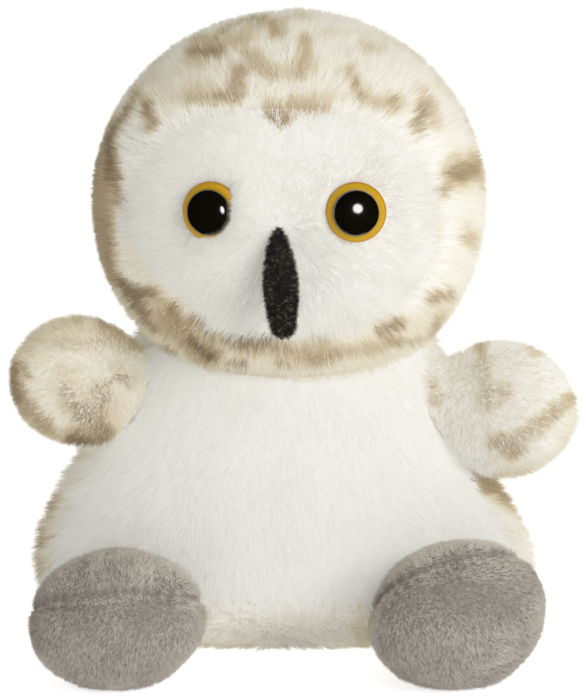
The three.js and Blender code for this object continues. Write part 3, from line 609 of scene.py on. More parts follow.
base_u, base_v = base_grid()
base_cloth = cloth_shell("base_cloth", base_surface, base_u, base_v, open_row=-1)
dress(base_cloth, spotted_cloth, "torso", "spotted_plush", ["base_panel"])
rng = np.random.default_rng(61)
roots, normals = scattered(base_surface, base_u, base_v, rng, per_mm2=4.5)
unpressed = smooth((roots[:, 2] - 3 * MM) / (4 * MM))
tone = BASE_TONE + 0.2 * blotches(roots, BLOTCH_SIZE, 40) + rng.normal(0, 0.04, len(roots))
outwards = unit(roots * np.array([1, 1, 0]) - np.array([0, TORSO_SETBACK, 0]) - 0.3 * MM * UP)
base_pile = pile(
    "base_pile", roots, normals, outwards, tone, 62,
    length=(2.4 + 1.2 * unpressed) * MM, lean=1.15 - 0.3 * unpressed, width=0.2 * MM,
)
dress(base_pile, spotted_pile, "torso", "spotted_plush")

# Wings
# Each wing is two panels of the spotted plush, stuffed lightly and sewn into the torso's side seam.
# It flaps about that seam.
LIMB_ROOT = -6 * MM
ROOTED = 0.97  # a limb leaves the torso at this share of the way out to its surface
LUMP_SIZE = 7 * MM
GATHER_STEP, GATHER_DRIFT = 0.4 * MM, 2.1 * MM
BEND_START, BEND_END = -1 * MM, 8 * MM
WING_VIEW = -13 * MM  # the depth at which the camera sees the wings' fronts


def turned(vector, axis, angle):
    """The vector turned about a unit axis, by the rule of Rodrigues."""
    axis = np.asarray(axis, float)
    return (
        vector * np.cos(angle)
        + np.cross(axis, vector) * np.sin(angle)
        + axis * (axis @ vector) * (1 - np.cos(angle))
    )


def bend_of(seat, out):
    """Where a limb's cloth passes from the torso to the limb: two points along its way out."""
    return tuple(seat + BEND_START * out), tuple(seat + BEND_END * out)


def limb_surface_of(seat, out, along, length, widest, root, most, pinch, seam_slope=0, arch=0, lumps=0, gathers=0):
    """A surface function for a stuffed limb.

    The limb points along out from its seat, and its seam runs along the second direction. Its half width and
    half thickness swell as a sine from the root to the widest place and end as an oval. u is the angle round
    it, and v runs from 0 where the limb leaves the torso to 1 at its tip. The surface dips at the seam, which
    arches as a half circle, with small gathers as a sine along it, and swells over the lumps of its filling.
    """
    through = np.cross(out, along)

    def half(distance, at_root, at_most):
        growing = at_root + (at_most - at_root) * np.sin(np.pi / 2 * np.clip(distance / widest, 0, 1))
        past = np.clip((distance - widest) / (length - widest), 0, 1)
        return np.where(distance < widest, growing, at_most * np.sqrt(1 - past**2))

    def place(angle, distance, inset):
        across, thick = half(distance, root[0], most[0]), half(distance, root[1], most[1])
        sideways, upwards = across * np.cos(angle), thick * np.sin(angle)
        bow = np.sqrt(np.clip(1 - (sideways / most[0]) ** 2, 0, 1)) * np.clip(distance / widest, 0, 1)
        seam = (upwards - distance * seam_slope - arch * bow) / MM
        dip = inset + pinch * np.exp(-(seam**2))
        if lumps:
            ripple = np.sin(sideways / GATHER_STEP + 1.5 * np.sin(sideways / GATHER_DRIFT))
            dip = dip + gathers * ripple * np.exp(-((seam / 2) ** 2))
            plain = seat + distance[..., None] * out + sideways[..., None] * along + upwards[..., None] * through
            dip = dip + lumps * drift(plain, LUMP_SIZE, 8)[..., 0]
        kept = np.maximum(0, 1 - dip / np.maximum(np.minimum(across, thick), 1e-9))
        shown = distance - inset * np.clip(distance / length, 0, 1)
        return (
            seat
            + shown[..., None] * out
            + (across * kept * np.cos(angle))[..., None] * along
            + (thick * kept * np.sin(angle))[..., None] * through
        )

    angles = np.linspace(0, 2 * np.pi, 361)
    starts = halved(
        np.full_like(angles, LIMB_ROOT), np.full_like(angles, widest),
        lambda distance: torso_share(place(angles, distance, 0)) > ROOTED, steps=24,
    )

    def surface(angle, reach, inset=0.0):
        begin = np.interp(angle % (2 * np.pi), angles, starts)
        distance = begin + (length - begin) * np.sin(np.pi / 2 * np.clip(reach, 0, 1))
        return place(angle, distance, inset)

    return surface


def limb_grid(columns=64, rows=40, tip=1.0):
    """Angles round a limb, and reaches from its root to near its tip."""
    return np.meshgrid(np.linspace(0, 2 * np.pi, columns + 1), np.linspace(0, tip, rows))


# Spots of the wings, in the same numbers as the torso's.
LEFT_WING_SPOTS = [
    (-52.6, 64.9, -45.6, 64.1, 1.1, 0.3),
    (-45.6, 64.5, -37.6, 64.1, 1.4, 0.42),
    (-37.6, 64.9, -29.6, 63.5, 1.4, 0.5),
    (-37.6, 67.6, -34.0, 65.6, 1.6, 0.5),
    (-55.2, 59.5, -53.6, 53.4, 1.6, 0.8),
    (-53.2, 60.1, -52.0, 58.0, 1.1, 0.6),
    (-52.0, 52.4, -48.0, 47.9, 1.4, 0.6),
    (-33.6, 58.0, -36.8, 56.8, 1.1, 0.7),
    (-45.2, 55.4, -42.6, 49.9, 1.6, 0.6),
    (-37.6, 55.4, -38.6, 50.3, 1.8, 0.65),
    (-41.6, 51.3, -38.0, 46.7, 2.5, 0.8),
    (-42.6, 45.7, -37.6, 43.7, 2.6, 1.0),
    (-41.6, 41.9, -37.2, 42.5, 2.4, 1.05),
    (-45.6, 59.5, -41.6, 58.9, 1.1, 0.35),
    (-42.6, 69.0, -41.6, 67.4, 0.9, 0.3),
    (-53.6, 62.5, -45.6, 66.6, 2.8, 0.18),
    (-45.6, 66.6, -32.6, 64.5, 2.8, 0.22),
    (-55.2, 58.4, -52.6, 50.3, 2.0, 0.35),
    (-50.6, 47.3, -42.6, 43.2, 2.0, 0.3),
    (-43.6, 55.4, -37.6, 52.4, 3.2, 0.3),
    (-40.6, 48.3, -37.6, 44.2, 2.8, 0.5),
    (-35.6, 60.5, -32.6, 57.4, 1.6, 0.25),
]
RIGHT_WING_SPOTS = [
    (38.6, 63.8, 39.2, 59.3, 1.4, 0.6),
    (39.2, 59.3, 40.0, 55.3, 1.6, 0.65),
    (40.0, 54.5, 40.8, 52.2, 1.8, 0.78),
    (40.4, 54.5, 43.2, 54.9, 1.4, 0.6),
    (42.4, 44.9, 45.6, 43.3, 2.0, 0.8),
    (44.8, 44.9, 48.8, 47.4, 1.6, 0.72),
    (48.8, 47.4, 53.0, 50.6, 1.6, 0.68),
    (53.0, 50.6, 56.8, 53.5, 1.6, 0.62),
    (29.2, 55.7, 30.0, 53.3, 1.2, 0.65),
    (48.0, 63.4, 50.0, 63.0, 1.1, 0.35),
    (42.0, 38.2, 48.4, 39.0, 0.7, 0.4),
    (57.4, 53.1, 54.4, 42.9, 1.6, 0.2),
    (42.4, 38.9, 51.4, 40.9, 1.6, 0.22),
    (30.4, 61.2, 36.4, 61.2, 1.2, 0.15),
    (43.4, 43.3, 40.4, 40.5, 1.2, 0.2),
]
# The tone added is painted shade on the left wing, which lies on the shaded side, and painted light on the right
# one.
WINGS = [  # side, sweep back and rise in degrees, length and half width in millimetres, spots, tone added
    ("left_wing", -1, 24, 21, 26.4, 14.3, LEFT_WING_SPOTS, 0.05),
    ("right_wing", 1, 12, -3, 27.4, 15.4, RIGHT_WING_SPOTS, -0.08),
]
for name, side, sweep, rise_angle, length, half_width, rows, tint in WINGS:
    seat, seam_axis = np.array(joints[name]["pos_m"]), np.array(joints[name]["axis"])
    out = turned(np.array([side, 0.0, 0.0]), UP, -side * np.radians(sweep))
    out = turned(out, [0, 1, 0], -side * np.radians(rise_angle))
    through = unit(np.cross(out, seam_axis))
    along = np.cross(through, out)
    surface = limb_surface_of(
        seat, out, along, length=length * MM, widest=0.45 * length * MM, root=(12.2 * MM, 6.2 * MM),
        most=(half_width * MM, 10.2 * MM), pinch=0.4 * MM,
    )
    cloth = cloth_shell(f"{name}_cloth", surface, *limb_grid(), open_row=0)
    bend = bend_of(seat, out)
    dress(cloth, spotted_cloth, name, "spotted_plush", [f"{name}_front", f"{name}_back"], bend)
    seed = 70 if side < 0 else 80
    rng = np.random.default_rng(seed)
    roots, normals = scattered(surface, *limb_grid(tip=0.995), rng, per_mm2=14)
    nap = np.broadcast_to(unit(out * [1, 0, 1] - 0.5 * UP + [0, 0.15, 0]), roots.shape)
    shade = spots(seen_from_front(roots + 0.8 * MM * nap, WING_VIEW), upright_strokes(rows))
    # tint darkens the left wing as painted shade and lightens the right one as painted light.
    tone = BASE_TONE + tint + 0.75 * shade + rng.normal(0, 0.05, len(roots))
    fibres = pile(
        f"{name}_pile", roots, normals, nap, tone, seed + 1, length=1.9 * MM, lean=0.6,
        width=0.11 * MM, tuft=0.7 * MM, unrest=0.35, gather=0.2, glint=0.2,
    )
    dress(fibres, spotted_pile, name, "spotted_plush", bend=bend)

# Feet
# Each foot is a fat cushion of grey short-pile cloth, filled with pellets: an upper and a sole, sewn together
# in a seam that climbs towards the toe, and sewn to the torso's lower front edge.
FOOT_DEPTH, FOOT_CLOTH_THICKNESS = 0.9 * MM, 0.4 * MM
FOOT_LENGTH, FOOT_WIDEST, FOOT_HALF_WIDTH = 35 * MM, 21 * MM, 18.1 * MM
SOLE_HEIGHT, SOLE_ROOTS = 0.6 * MM, 0.5 * MM  # the lowest that the cloth and the roots of its pile come
FOOT_VIEW = -48 * MM  # the depth at which the camera sees the toes
TOE_FRONT, TOE_BACK = -32 * MM, -20 * MM  # the dark strokes lie ahead of the first, the light ones of the second
PUCKER_STEP = 0.33 * MM
grey_cloth = cloth_material("grey short-pile backing", (0.3, 0.27, 0.25), (0.2, 0.18, 0.165), 1400)
GREY_TONES = [
    (0, (0.2, 0.173, 0.16)),
    (0.3, (0.36, 0.32, 0.295)),
    (0.6, (0.53, 0.477, 0.425)),
    (0.85, (0.66, 0.61, 0.54)),
    (1, (0.76, 0.71, 0.64)),
]
# Its second list is the painted shade, darkest at the fibre's root.
grey_pile = pile_material(
    "grey short pile", GREY_TONES, [(0, 0.6), (0.4, 0.9), (1, 1.0)], roughness=0.6, specular=0.3
)

# Strokes that make the feet's pile lighter and darker: millimetres across and up, half width, strength. The dark
# ones at the left toe are painted shade in its dimple, and the broad light one on the right foot's top is painted
# light.
LEFT_FOOT_DARK = [
    (-47.6, 18.8, -35.2, 23.9, 2.8, 0.4),
    (-49.6, 13.7, -46.0, 8.3, 1.8, 0.6),
    (-49.6, 15.8, -48.0, 10.7, 1.0, 1.0),
    (-38.6, 6.2, -27.6, 4.2, 1.4, 0.4),
]
LEFT_FOOT_LIGHT = [
    (-27.6, 25.9, -18.6, 20.8, 2.8, 0.6),
    (-35.6, 14.8, -22.6, 10.7, 3.0, 0.5),
    (-39.6, 26.9, -33.6, 27.7, 1.4, 0.3),
    (-40.6, 19.2, -28.6, 19.6, 0.5, 0.9),
]
RIGHT_FOOT_DARK = [
    (30.4, 20.3, 46.8, 20.3, 2.4, 0.5),
    (18.8, 8.3, 22.0, 14.3, 1.6, 0.6),
    (25.4, 5.6, 37.4, 4.2, 1.6, 0.4),
]
RIGHT_FOOT_LIGHT = [
    (28.4, 26.5, 46.4, 30.0, 3.4, 1.0),
    (22.4, 14.3, 31.4, 12.3, 2.4, 0.4),
    (42.4, 12.7, 48.4, 15.8, 2.0, 0.25),
]
FEET = [  # side, then pitch, toe out, roll and seam's tilt in degrees, half thickness and seam's arch, strokes
    ("left_foot", -1, 6, 12, 6, 8, 14.3 * MM, 1.6 * MM, LEFT_FOOT_DARK, LEFT_FOOT_LIGHT),
    ("right_foot", 1, 9, 14, 12, 15, 15.2 * MM, 4.2 * MM, RIGHT_FOOT_DARK, RIGHT_FOOT_LIGHT),
]
for name, side, pitch, toe_out, roll, seam_tilt, half_thickness, arch, dark, light in FEET:
    seat = np.array(joints[name]["pos_m"])
    ahead = turned(np.array([0.0, -1.0, 0.0]), UP, side * np.radians(toe_out))
    across = np.cross(UP, ahead)
    out = turned(ahead, across, -np.radians(pitch))
    along = turned(across, out, np.radians(roll))
    through, slope = np.cross(out, along), np.tan(np.radians(seam_tilt))
    surface = limb_surface_of(
        seat, out, along, length=FOOT_LENGTH, widest=FOOT_WIDEST, root=(11 * MM, 6.6 * MM),
        most=(FOOT_HALF_WIDTH, half_thickness), pinch=0.8 * MM, seam_slope=slope,
        arch=arch, lumps=0.45 * MM, gathers=0.22 * MM,
    )
    cloth = cloth_shell(f"{name}_cloth", surface, *limb_grid(96, 72), FOOT_CLOTH_THICKNESS, FOOT_DEPTH, open_row=0)
    points = np.empty(3 * len(cloth.data.vertices), np.float32)
    cloth.data.vertices.foreach_get("co", points)
    points[2::3] = np.maximum(points[2::3], SOLE_HEIGHT)
    cloth.data.vertices.foreach_set("co", points)
    bend = bend_of(seat, out)
    dress(cloth, grey_cloth, name, "grey_velboa", [f"{name}_upper", f"{name}_sole"], bend)
    seed = 90 if side < 0 else 100
    rng = np.random.default_rng(seed)
    roots, normals = scattered(surface, *limb_grid(96, 72, tip=0.998), rng, per_mm2=12.5, depth=FOOT_DEPTH)
    roots[:, 2] = np.maximum(roots[:, 2], SOLE_ROOTS)
    stroked = drift(roots, 6 * MM, seed + 3)
    off, seen = roots - seat, seen_from_front(roots, FOOT_VIEW)
    bow = np.sqrt(np.clip(1 - (off @ along / FOOT_HALF_WIDTH) ** 2, 0, 1)) * np.clip(off @ out / FOOT_WIDEST, 0, 1)
    above = off @ through - (off @ out) * slope - arch * bow
    tone = 0.57 + 0.14 * stroked[:, 0] + 0.12 * drift(roots, 2.2 * MM, seed + 4)[:, 0]
    tone = tone + rng.normal(0, 0.12, len(roots))
    # Lighter and darker strokes, among them painted shade in the left toe's dimple and painted light on the right
    # foot's top.
    tone += (roots[:, 1] < TOE_BACK) * 0.25 * spots(seen, upright_strokes(light))
    tone -= (roots[:, 1] < TOE_FRONT) * 0.16 * spots(seen, upright_strokes(dark))
    # The upper, above the seam, is drawn lighter as painted light from above.
    tone += (0.05 + 0.03 * arch / MM) * smooth(above / (3 * MM))
    # Along the seam the pile is darkened as painted shade in its groove, and made lighter and darker over the
    # puckers as painted light and shade.
    pucker_light_and_shade = np.exp(-((above / (1.6 * MM)) ** 2)) * np.sin(off @ along / PUCKER_STEP + 1.5 * stroked[:, 1])
    tone -= (0.12 + 0.09 * arch / MM) * np.exp(-((above / (0.5 * MM)) ** 2)) + 0.15 * pucker_light_and_shade
    nap = unit(out * 0.3 + through * 0.8 * np.tanh(above / (4 * MM))[:, None] + 0.9 * stroked)
    fibres = pile(
        f"{name}_pile", roots, normals, nap, tone, seed + 1, length=1.15 * MM, lean=0.72,
        width=0.125 * MM, tuft=0.5 * MM, unrest=0.45, gather=0.5, glint=0.6,
    )
    dress(fibres, grey_pile, name, "grey_velboa", bend=bend)

# Head
# The head is a ball of the spotted plush, two panels sewn together over the top and behind, round a white face
# panel. The face's pile radiates from the beak and hangs over the chin, and spotted fibres cover its rim.
FACE_X, FACE_Z = -1.3 * MM, HEAD_MIDDLE[2] - 0.5 * MM
FACE_HALF_WIDTH, FACE_HALF_HEIGHT = 31.6 * MM, 24.0 * MM
WHITE_MIDDLE, WHITE_HALF_WIDTH = (-1.7 * MM, 86.2 * MM), 33.0 * MM
WHITE_ABOVE, WHITE_BELOW = (24.6 * MM, 4), (24.8 * MM, 2.2)  # half height, and how square the oval is
CHEEK_CUT = (0.77, 0.64, 26.2 * MM)  # a line's direction and how far from the white's middle it cuts the oval


def head_front(x, z, inset=0.0):
    """The depth of the head's front surface at a place seen from the front."""
    wide, tall = HEAD_HALF_WIDTH - inset, HEAD_HALF_HEIGHT - inset
    full = np.where(z > HEAD_MIDDLE[2], FULLNESS_ABOVE, FULLNESS_BELOW)
    across = np.abs(x / wide) ** full + np.abs((z - HEAD_MIDDLE[2]) / tall) ** full
    left = np.maximum(0, 1 - across ** (FACE_FLATNESS / full))
    return -(HEAD_FRONT - inset) * left ** (1 / FACE_FLATNESS)


def face_surface(angle, reach, inset=0.0):
    """The oval face panel: an angle from straight up, and a reach from 0 in the middle to 1 at its seam."""
    x = FACE_X + FACE_HALF_WIDTH * reach * np.sin(angle)
    z = FACE_Z + FACE_HALF_HEIGHT * reach * np.cos(angle)
    return np.stack([x, head_front(x, z, inset), z], -1)


def head_surface(angle, bearing, inset=0.0):
    """The ball: an angle from straight up as seen from the front, and a bearing back from straight ahead."""
    way = np.stack(
        [np.sin(bearing) * np.sin(angle), -np.cos(bearing), np.sin(bearing) * np.cos(angle)], -1
    )
    return HEAD_MIDDLE + way / head_share(HEAD_MIDDLE + way, -inset)[..., None]


def face_edge(angle):
    """The bearing at each angle where the ball leaves the face panel."""
    def outside(bearing):
        x, _, z = np.moveaxis(head_surface(angle, bearing), -1, 0)
        return np.hypot((x - FACE_X) / (FACE_HALF_WIDTH + SEAM), (z - FACE_Z) / (FACE_HALF_HEIGHT + SEAM)) > 1
    return halved(np.zeros_like(angle), np.full_like(angle, np.pi / 2), outside)


def head_grid(from_angle, to_angle, rows=44, columns=44, ends=(0, 1)):
    """Angles and bearings of a side of the head: ends are shares of the way from the face to the back."""
    angle = np.linspace(from_angle, to_angle, columns)
    first = face_edge(angle)
    last = np.full_like(angle, np.pi - 1e-3)
    way = lambda share: first + (last - first) * share
    bearing = spread((way(ends[0]), way(ends[1])), rows)
    return np.broadcast_to(angle, bearing.shape), bearing


def eye_frame(side, turn, lift):
    """Where an eye sits on the face, and the way that it looks."""
    x = EYE_MIDDLE + side * EYE_SPACING / 2
    z = HEAD_MIDDLE[2] + EYE_RISE
    seat = np.array([x, head_front(x, z), z])
    out = turned(np.array([0.0, -1.0, 0.0]), [1, 0, 0], -np.radians(lift))
    return seat, turned(out, UP, np.radians(turn))


EYE_MIDDLE, EYE_SPACING, EYE_RISE = -0.95 * MM, 28.8 * MM, 2.7 * MM
eyes = {"left": eye_frame(-1, -20, 3), "right": eye_frame(1, -1, 3)}
IRIS_RADIUS = 6.0 * MM
LEFT_EYE_COVER = np.radians(45), np.radians(215)  # from straight up, towards the beak
FLANGE_CLEAR = 6.0 * MM, 0.65 * MM  # out from the eye's middle and above its seat, where a strand clears the flange
BARE_UNDER_IRIS = 6.05 * MM
STRANDS = 8000
BEAK_TOP, BEAK_FOOT = HEAD_MIDDLE[2] + 0.6 * MM, HEAD_MIDDLE[2] - 21.8 * MM
BEAK_X, BEAK_LEAN = -2.0 * MM, 1.1 * MM

# Spots of the head, drawn darker down its left rim and across the chin band partly as painted shade: millimetres
# across and up to each end, half width, strength.
HEAD_SPOTS_AND_SHADE = [
    (-19.6, 116.2, -15.2, 116.8, 1.6, 0.52),
    (-15.2, 116.8, -11.2, 117.9, 1.8, 0.69),
    (-11.2, 117.9, -10.4, 122.0, 1.8, 0.6),
    (-18.6, 123.7, -14.6, 124.5, 2.1, 0.77),
    (-20.0, 123.0, -19.6, 123.7, 0.9, 0.6),
    (-14.6, 126.1, -9.6, 128.1, 1.6, 0.6),
    (-9.6, 128.1, -5.2, 129.3, 1.6, 0.69),
    (-5.2, 129.3, -2.6, 127.7, 1.6, 0.52),
    (-8.6, 125.0, -6.4, 124.5, 1.4, 0.43),
    (-6.4, 123.2, -3.6, 121.9, 1.8, 0.47),
    (3.6, 126.9, 2.6, 121.6, 1.4, 0.47),
    (-2.6, 114.4, -1.2, 113.3, 1.6, 0.69),
    (0.4, 115.2, 2.4, 115.9, 0.9, 0.34),
    (1.4, 116.4, 7.4, 116.0, 1.8, 0.47),
    (10.4, 116.8, 12.4, 116.9, 0.7, 0.21),
    (12.8, 121.9, 13.6, 119.1, 1.1, 0.43),
    (13.6, 119.1, 15.6, 116.2, 1.4, 0.6),
    (15.6, 115.8, 22.4, 114.5, 1.1, 0.52),
    (21.4, 116.0, 22.8, 115.0, 0.9, 0.52),
    (30.4, 115.5, 27.4, 114.0, 1.1, 0.52),
    (27.2, 114.0, 26.4, 110.1, 1.6, 0.7),
    (26.4, 110.1, 26.6, 108.2, 0.9, 0.4),
    (32.8, 100.1, 37.4, 99.7, 2.5, 0.75),
    (31.4, 97.5, 33.4, 98.6, 1.4, 0.6),
    (38.0, 100.4, 36.4, 101.7, 1.4, 0.6),
    (36.0, 87.2, 37.4, 85.3, 1.8, 0.35),
    (28.8, 74.9, 32.8, 75.1, 1.4, 0.6),
    (19.4, 68.6, 22.0, 69.6, 1.8, 0.7),
    (29.6, 68.4, 28.4, 60.1, 1.6, 0.5),
    (-29.0, 113.1, -28.2, 110.9, 1.8, 0.75),
    (-31.6, 114.1, -29.6, 114.2, 1.4, 0.43),
    (-33.6, 110.0, -35.2, 106.6, 1.4, 0.8),
    (-36.0, 105.3, -36.2, 97.2, 1.4, 0.85),
    (-35.2, 97.5, -34.0, 93.9, 1.1, 0.7),
    (-38.4, 90.9, -38.0, 85.9, 1.1, 0.6),
    (-36.8, 88.3, -35.6, 88.0, 1.1, 0.6),
    (-33.6, 77.0, -31.2, 74.8, 2.1, 0.95),
    (-30.6, 74.5, -29.2, 71.3, 1.4, 0.7),
    (-24.6, 73.9, -22.4, 71.0, 1.1, 0.8),
    (-22.4, 71.0, -19.6, 65.9, 1.1, 0.7),
    (-19.6, 65.9, -16.6, 62.0, 1.4, 0.95),
    (-19.6, 71.3, -16.2, 70.2, 1.1, 0.9),
    (-17.6, 69.7, -12.6, 68.2, 0.9, 0.9),
    (-12.6, 66.6, -4.6, 66.4, 1.1, 0.9),
    (-4.6, 65.7, 2.4, 65.3, 1.4, 0.6),
    (2.4, 62.9, 10.4, 64.1, 1.4, 0.5),
    (6.4, 68.5, 8.0, 66.8, 1.1, 0.5),
    (-17.6, 60.9, -9.6, 61.2, 0.9, 0.7),
    (-1.6, 61.4, 8.4, 62.3, 0.9, 0.5),
    (20.4, 65.8, 26.4, 65.5, 0.9, 0.5),
    (10.4, 63.6, 18.4, 64.3, 0.9, 0.4),
    (15.4, 124.5, 18.8, 123.7, 1.6, 0.3),
    (11.4, 125.1, 12.4, 124.4, 0.7, 0.26),
    (-25.6, 60.1, -23.6, 63.0, 1.4, 0.6),
    (-18.6, 123.0, -9.6, 126.5, 2.8, 0.39),
    (-9.6, 127.3, 2.4, 128.9, 2.0, 0.39),
    (6.4, 127.3, 21.4, 123.7, 1.6, 0.19),
    (-31.2, 113.4, -33.0, 110.5, 2.4, 0.65),
    (-33.0, 110.5, -35.8, 105.6, 2.6, 0.85),
    (-35.8, 105.6, -36.2, 102.6, 2.6, 0.88),
    (-36.2, 102.6, -35.0, 98.9, 2.2, 0.88),
    (-35.0, 98.9, -34.4, 95.0, 1.8, 0.85),
    (-34.4, 95.0, -33.4, 92.9, 1.4, 0.7),
    (-38.2, 99.9, -38.2, 80.5, 3.2, 0.95),
    (-36.8, 88.3, -35.6, 79.1, 2.8, 0.6),
    (-34.4, 76.8, -31.6, 76.3, 1.6, 0.9),
    (-32.0, 76.4, -28.4, 75.9, 1.4, 0.85),
    (-33.2, 75.4, -31.2, 72.3, 2.2, 0.8),
    (-31.2, 72.3, -28.2, 68.7, 2.2, 0.7),
    (-23.2, 73.1, -20.4, 67.7, 1.4, 0.6),
    (-18.0, 71.2, -15.6, 69.8, 1.0, 0.8),
    (-18.6, 64.8, -16.4, 62.3, 1.8, 1.0),
    (-26.6, 60.5, -25.0, 59.1, 1.4, 0.9),
    (-25.6, 70.9, -17.6, 61.8, 2.8, 0.5),
    (-17.6, 68.5, -7.6, 65.2, 2.4, 0.52),
    (-10.6, 66.7, -6.0, 67.6, 1.2, 0.65),
    (-7.6, 65.2, 8.4, 65.2, 2.0, 0.45),
    (5.4, 67.6, 8.6, 69.3, 1.2, 0.4),
    (8.4, 65.2, 19.4, 64.7, 1.8, 0.3),
    (34.4, 100.7, 38.8, 96.0, 2.8, 0.42),
    (36.8, 109.8, 38.4, 101.7, 1.6, 0.25),
    (30.4, 114.9, 33.4, 111.2, 1.4, 0.25),
    (30.4, 70.0, 28.0, 60.7, 1.8, 0.34),
    (32.8, 73.6, 30.4, 70.0, 1.2, 0.22),
    (-23.6, 119.5, -14.6, 123.0, 2.8, 0.1),
    (-27.6, 118.0, -24.6, 114.4, 2.8, 0.12),
    (-20.6, 117.5, -12.6, 117.3, 2.4, 0.24),
    (-27.6, 75.0, -19.6, 67.8, 2.4, 0.42),
    (-19.6, 116.1, -11.6, 118.2, 1.8, 0.33),
    (-7.2, 123.1, -0.4, 122.3, 1.8, 0.31),
    (2.4, 126.6, 4.8, 121.9, 1.4, 0.26),
    (-19.6, 124.9, -13.6, 125.3, 1.8, 0.43),
    (-13.6, 126.1, -5.2, 128.1, 1.6, 0.36),
    (-3.6, 115.9, 0.8, 114.1, 1.8, 0.34),
    (0.8, 115.9, 8.0, 116.9, 1.6, 0.3),
    (12.0, 121.2, 16.0, 116.5, 1.6, 0.29),
    (16.0, 116.1, 23.2, 114.3, 1.6, 0.28),
    (27.4, 115.4, 29.6, 110.4, 1.8, 0.35),
    (-16.6, 66.3, -14.6, 63.8, 1.6, 0.55),
    (-27.6, 69.2, -16.6, 63.0, 2.4, 0.35),
    (-9.6, 65.1, 8.4, 64.2, 1.8, 0.4),
]


def head_strokes(rows):
    """Strokes from rows of millimetres, with their ends on the head's front surface."""
    def end(x, z):
        out = np.array([x * MM, head_front(x * MM, z * MM), z * MM]) - HEAD_MIDDLE
        return HEAD_MIDDLE + out / head_share(HEAD_MIDDLE + out, -CLOTH_DEPTH)
    return [(end(a, b), end(c, d), half * MM, strength) for a, b, c, d, half, strength in rows]


def past_white(tips):
    """Where tips lie as seen from the front: 0 in the middle of the face's white, 1 at its edge, more outside.

    The white is an oval, squarer above, with its lower left cut straight.
    """
    across = tips[:, 0] - WHITE_MIDDLE[0]
    up = tips[:, 2] + tips[:, 1] * np.tan(VIEW_DROP) - WHITE_MIDDLE[1]
    tall, square = (np.where(up > 0, a, b) for a, b in zip(WHITE_ABOVE, WHITE_BELOW))
    oval = (np.abs(across / WHITE_HALF_WIDTH) ** square + np.abs(up / tall) ** square) ** (1 / square)
    return np.maximum(oval, -(across * CHEEK_CUT[0] + up * CHEEK_CUT[1]) / CHEEK_CUT[2])


def fading(apart, start, width):
    """1 as far out as the start, and then falling as half a bell curve over the width."""
    return np.exp(-((np.maximum(apart - start, 0) / width) ** 2))


face_u, face_v = np.meshgrid(np.linspace(0, 2 * np.pi, 73), np.linspace(0, 1 - SEAM / FACE_HALF_HEIGHT, 40))
face_cloth = cloth_shell("face_cloth", face_surface, face_u, face_v, open_row=-1)
dress(face_cloth, white_cloth, "head", "white_plush", ["face_panel"])
rng = np.random.default_rng(111)
roots, normals = scattered(face_surface, face_u, face_v, rng, per_mm2=15)
beak_root = np.array([FACE_X, -HEAD_FRONT, HEAD_MIDDLE[2] - 1 * MM])
nap = unit((roots - beak_root) * np.array([1, 1, 0.9]) + 2 * MM * UP * (roots[:, 2:] > HEAD_MIDDLE[2]))
length, lean = np.full(len(roots), 2.6 * MM), np.full(len(roots), 0.62)
kept = np.ones(len(roots), bool)
for side, (seat, out) in eyes.items():
    away = roots - seat
    away -= (away @ out)[:, None] * out
    apart = np.linalg.norm(away, axis=1)
    away = unit(away)
    over = np.zeros(len(roots))
    if side == "left":
        inner = unit(np.array([1.0, 0, -0.5]))
        over = smooth((away @ inner - 0.1) / 0.4) * fading(apart, 7 * MM, 2.2 * MM)
    near = fading(apart, 5.5 * MM, 2.6 * MM) * (1 - over)
    nap = unit(nap * (1 - near - over)[:, None] + (1.6 * near - 1.2 * over)[:, None] * away)
    length = length * (1 - 0.35 * near + 0.75 * over)
    lean = lean * (1 - 0.6 * fading(apart, IRIS_RADIUS, 0.7 * MM))
    kept &= apart > BARE_UNDER_IRIS
behind_beak = (np.abs(roots[:, 0] - BEAK_X) < 2.8 * MM) & (roots[:, 2] < BEAK_TOP) & (roots[:, 2] > BEAK_FOOT)
length[behind_beak] *= 0.6
chin = smooth((FACE_Z - 12 * MM - roots[:, 2]) / (8 * MM))
length = length * (1 + 0.35 * chin)
# The pile between the beak and the left eye bulges over that eye's flange, as far as the pupil.
seat, out = eyes["left"]
aside = unit(np.cross(UP, out))
clock, far = rng.uniform(*LEFT_EYE_COVER, STRANDS), rng.uniform(7.0, 10, STRANDS) * MM
ray = np.cos(clock)[:, None] * np.cross(out, aside) + np.sin(clock)[:, None] * aside
over_skin = seat + far[:, None] * ray
fringe = np.stack([over_skin[:, 0], head_front(over_skin[:, 0], over_skin[:, 2], CLOTH_DEPTH), over_skin[:, 2]], 1)
from_ends = np.minimum(clock - LEFT_EYE_COVER[0], LEFT_EYE_COVER[1] - clock)
reach_in = (5.35 + 0.9 * (1 - smooth(from_ends / 0.6)) + rng.normal(0, 0.12, STRANDS)) * MM
share = (FLANGE_CLEAR[0] - reach_in) / (far - reach_in)
top = np.clip((FLANGE_CLEAR[1] - share * ((fringe - seat) @ out)) / (1 - share), 0.5 * MM, 3 * MM)
strand = seat + reach_in[:, None] * ray + top[:, None] * out - fringe
strand_length = np.linalg.norm(strand, axis=1)
lift = unit(fringe - HEAD_MIDDLE - 0.5 * (fringe - HEAD_MIDDLE) * np.array([1, 0, 1]))
steepness = np.clip(np.sum(strand * lift, axis=1) / strand_length, -1, 1)
# The fringe takes the same greyer white as the face, as painted shade.
tone = 0.75 + rng.normal(0, 0.2, STRANDS)
fringe_pile = pile(
    "left_eye_fringe", fringe, lift, unit(strand), tone, 115, length=strand_length, lean=np.arccos(steepness),
    width=0.13 * MM, tuft=0.9 * MM, unrest=0.12, gather=0.2, uneven=0.12, wander=0.08, glint=0.5,
)
fringe_pile.visible_shadow = True
dress(fringe_pile, white_pile, "head", "white_plush")

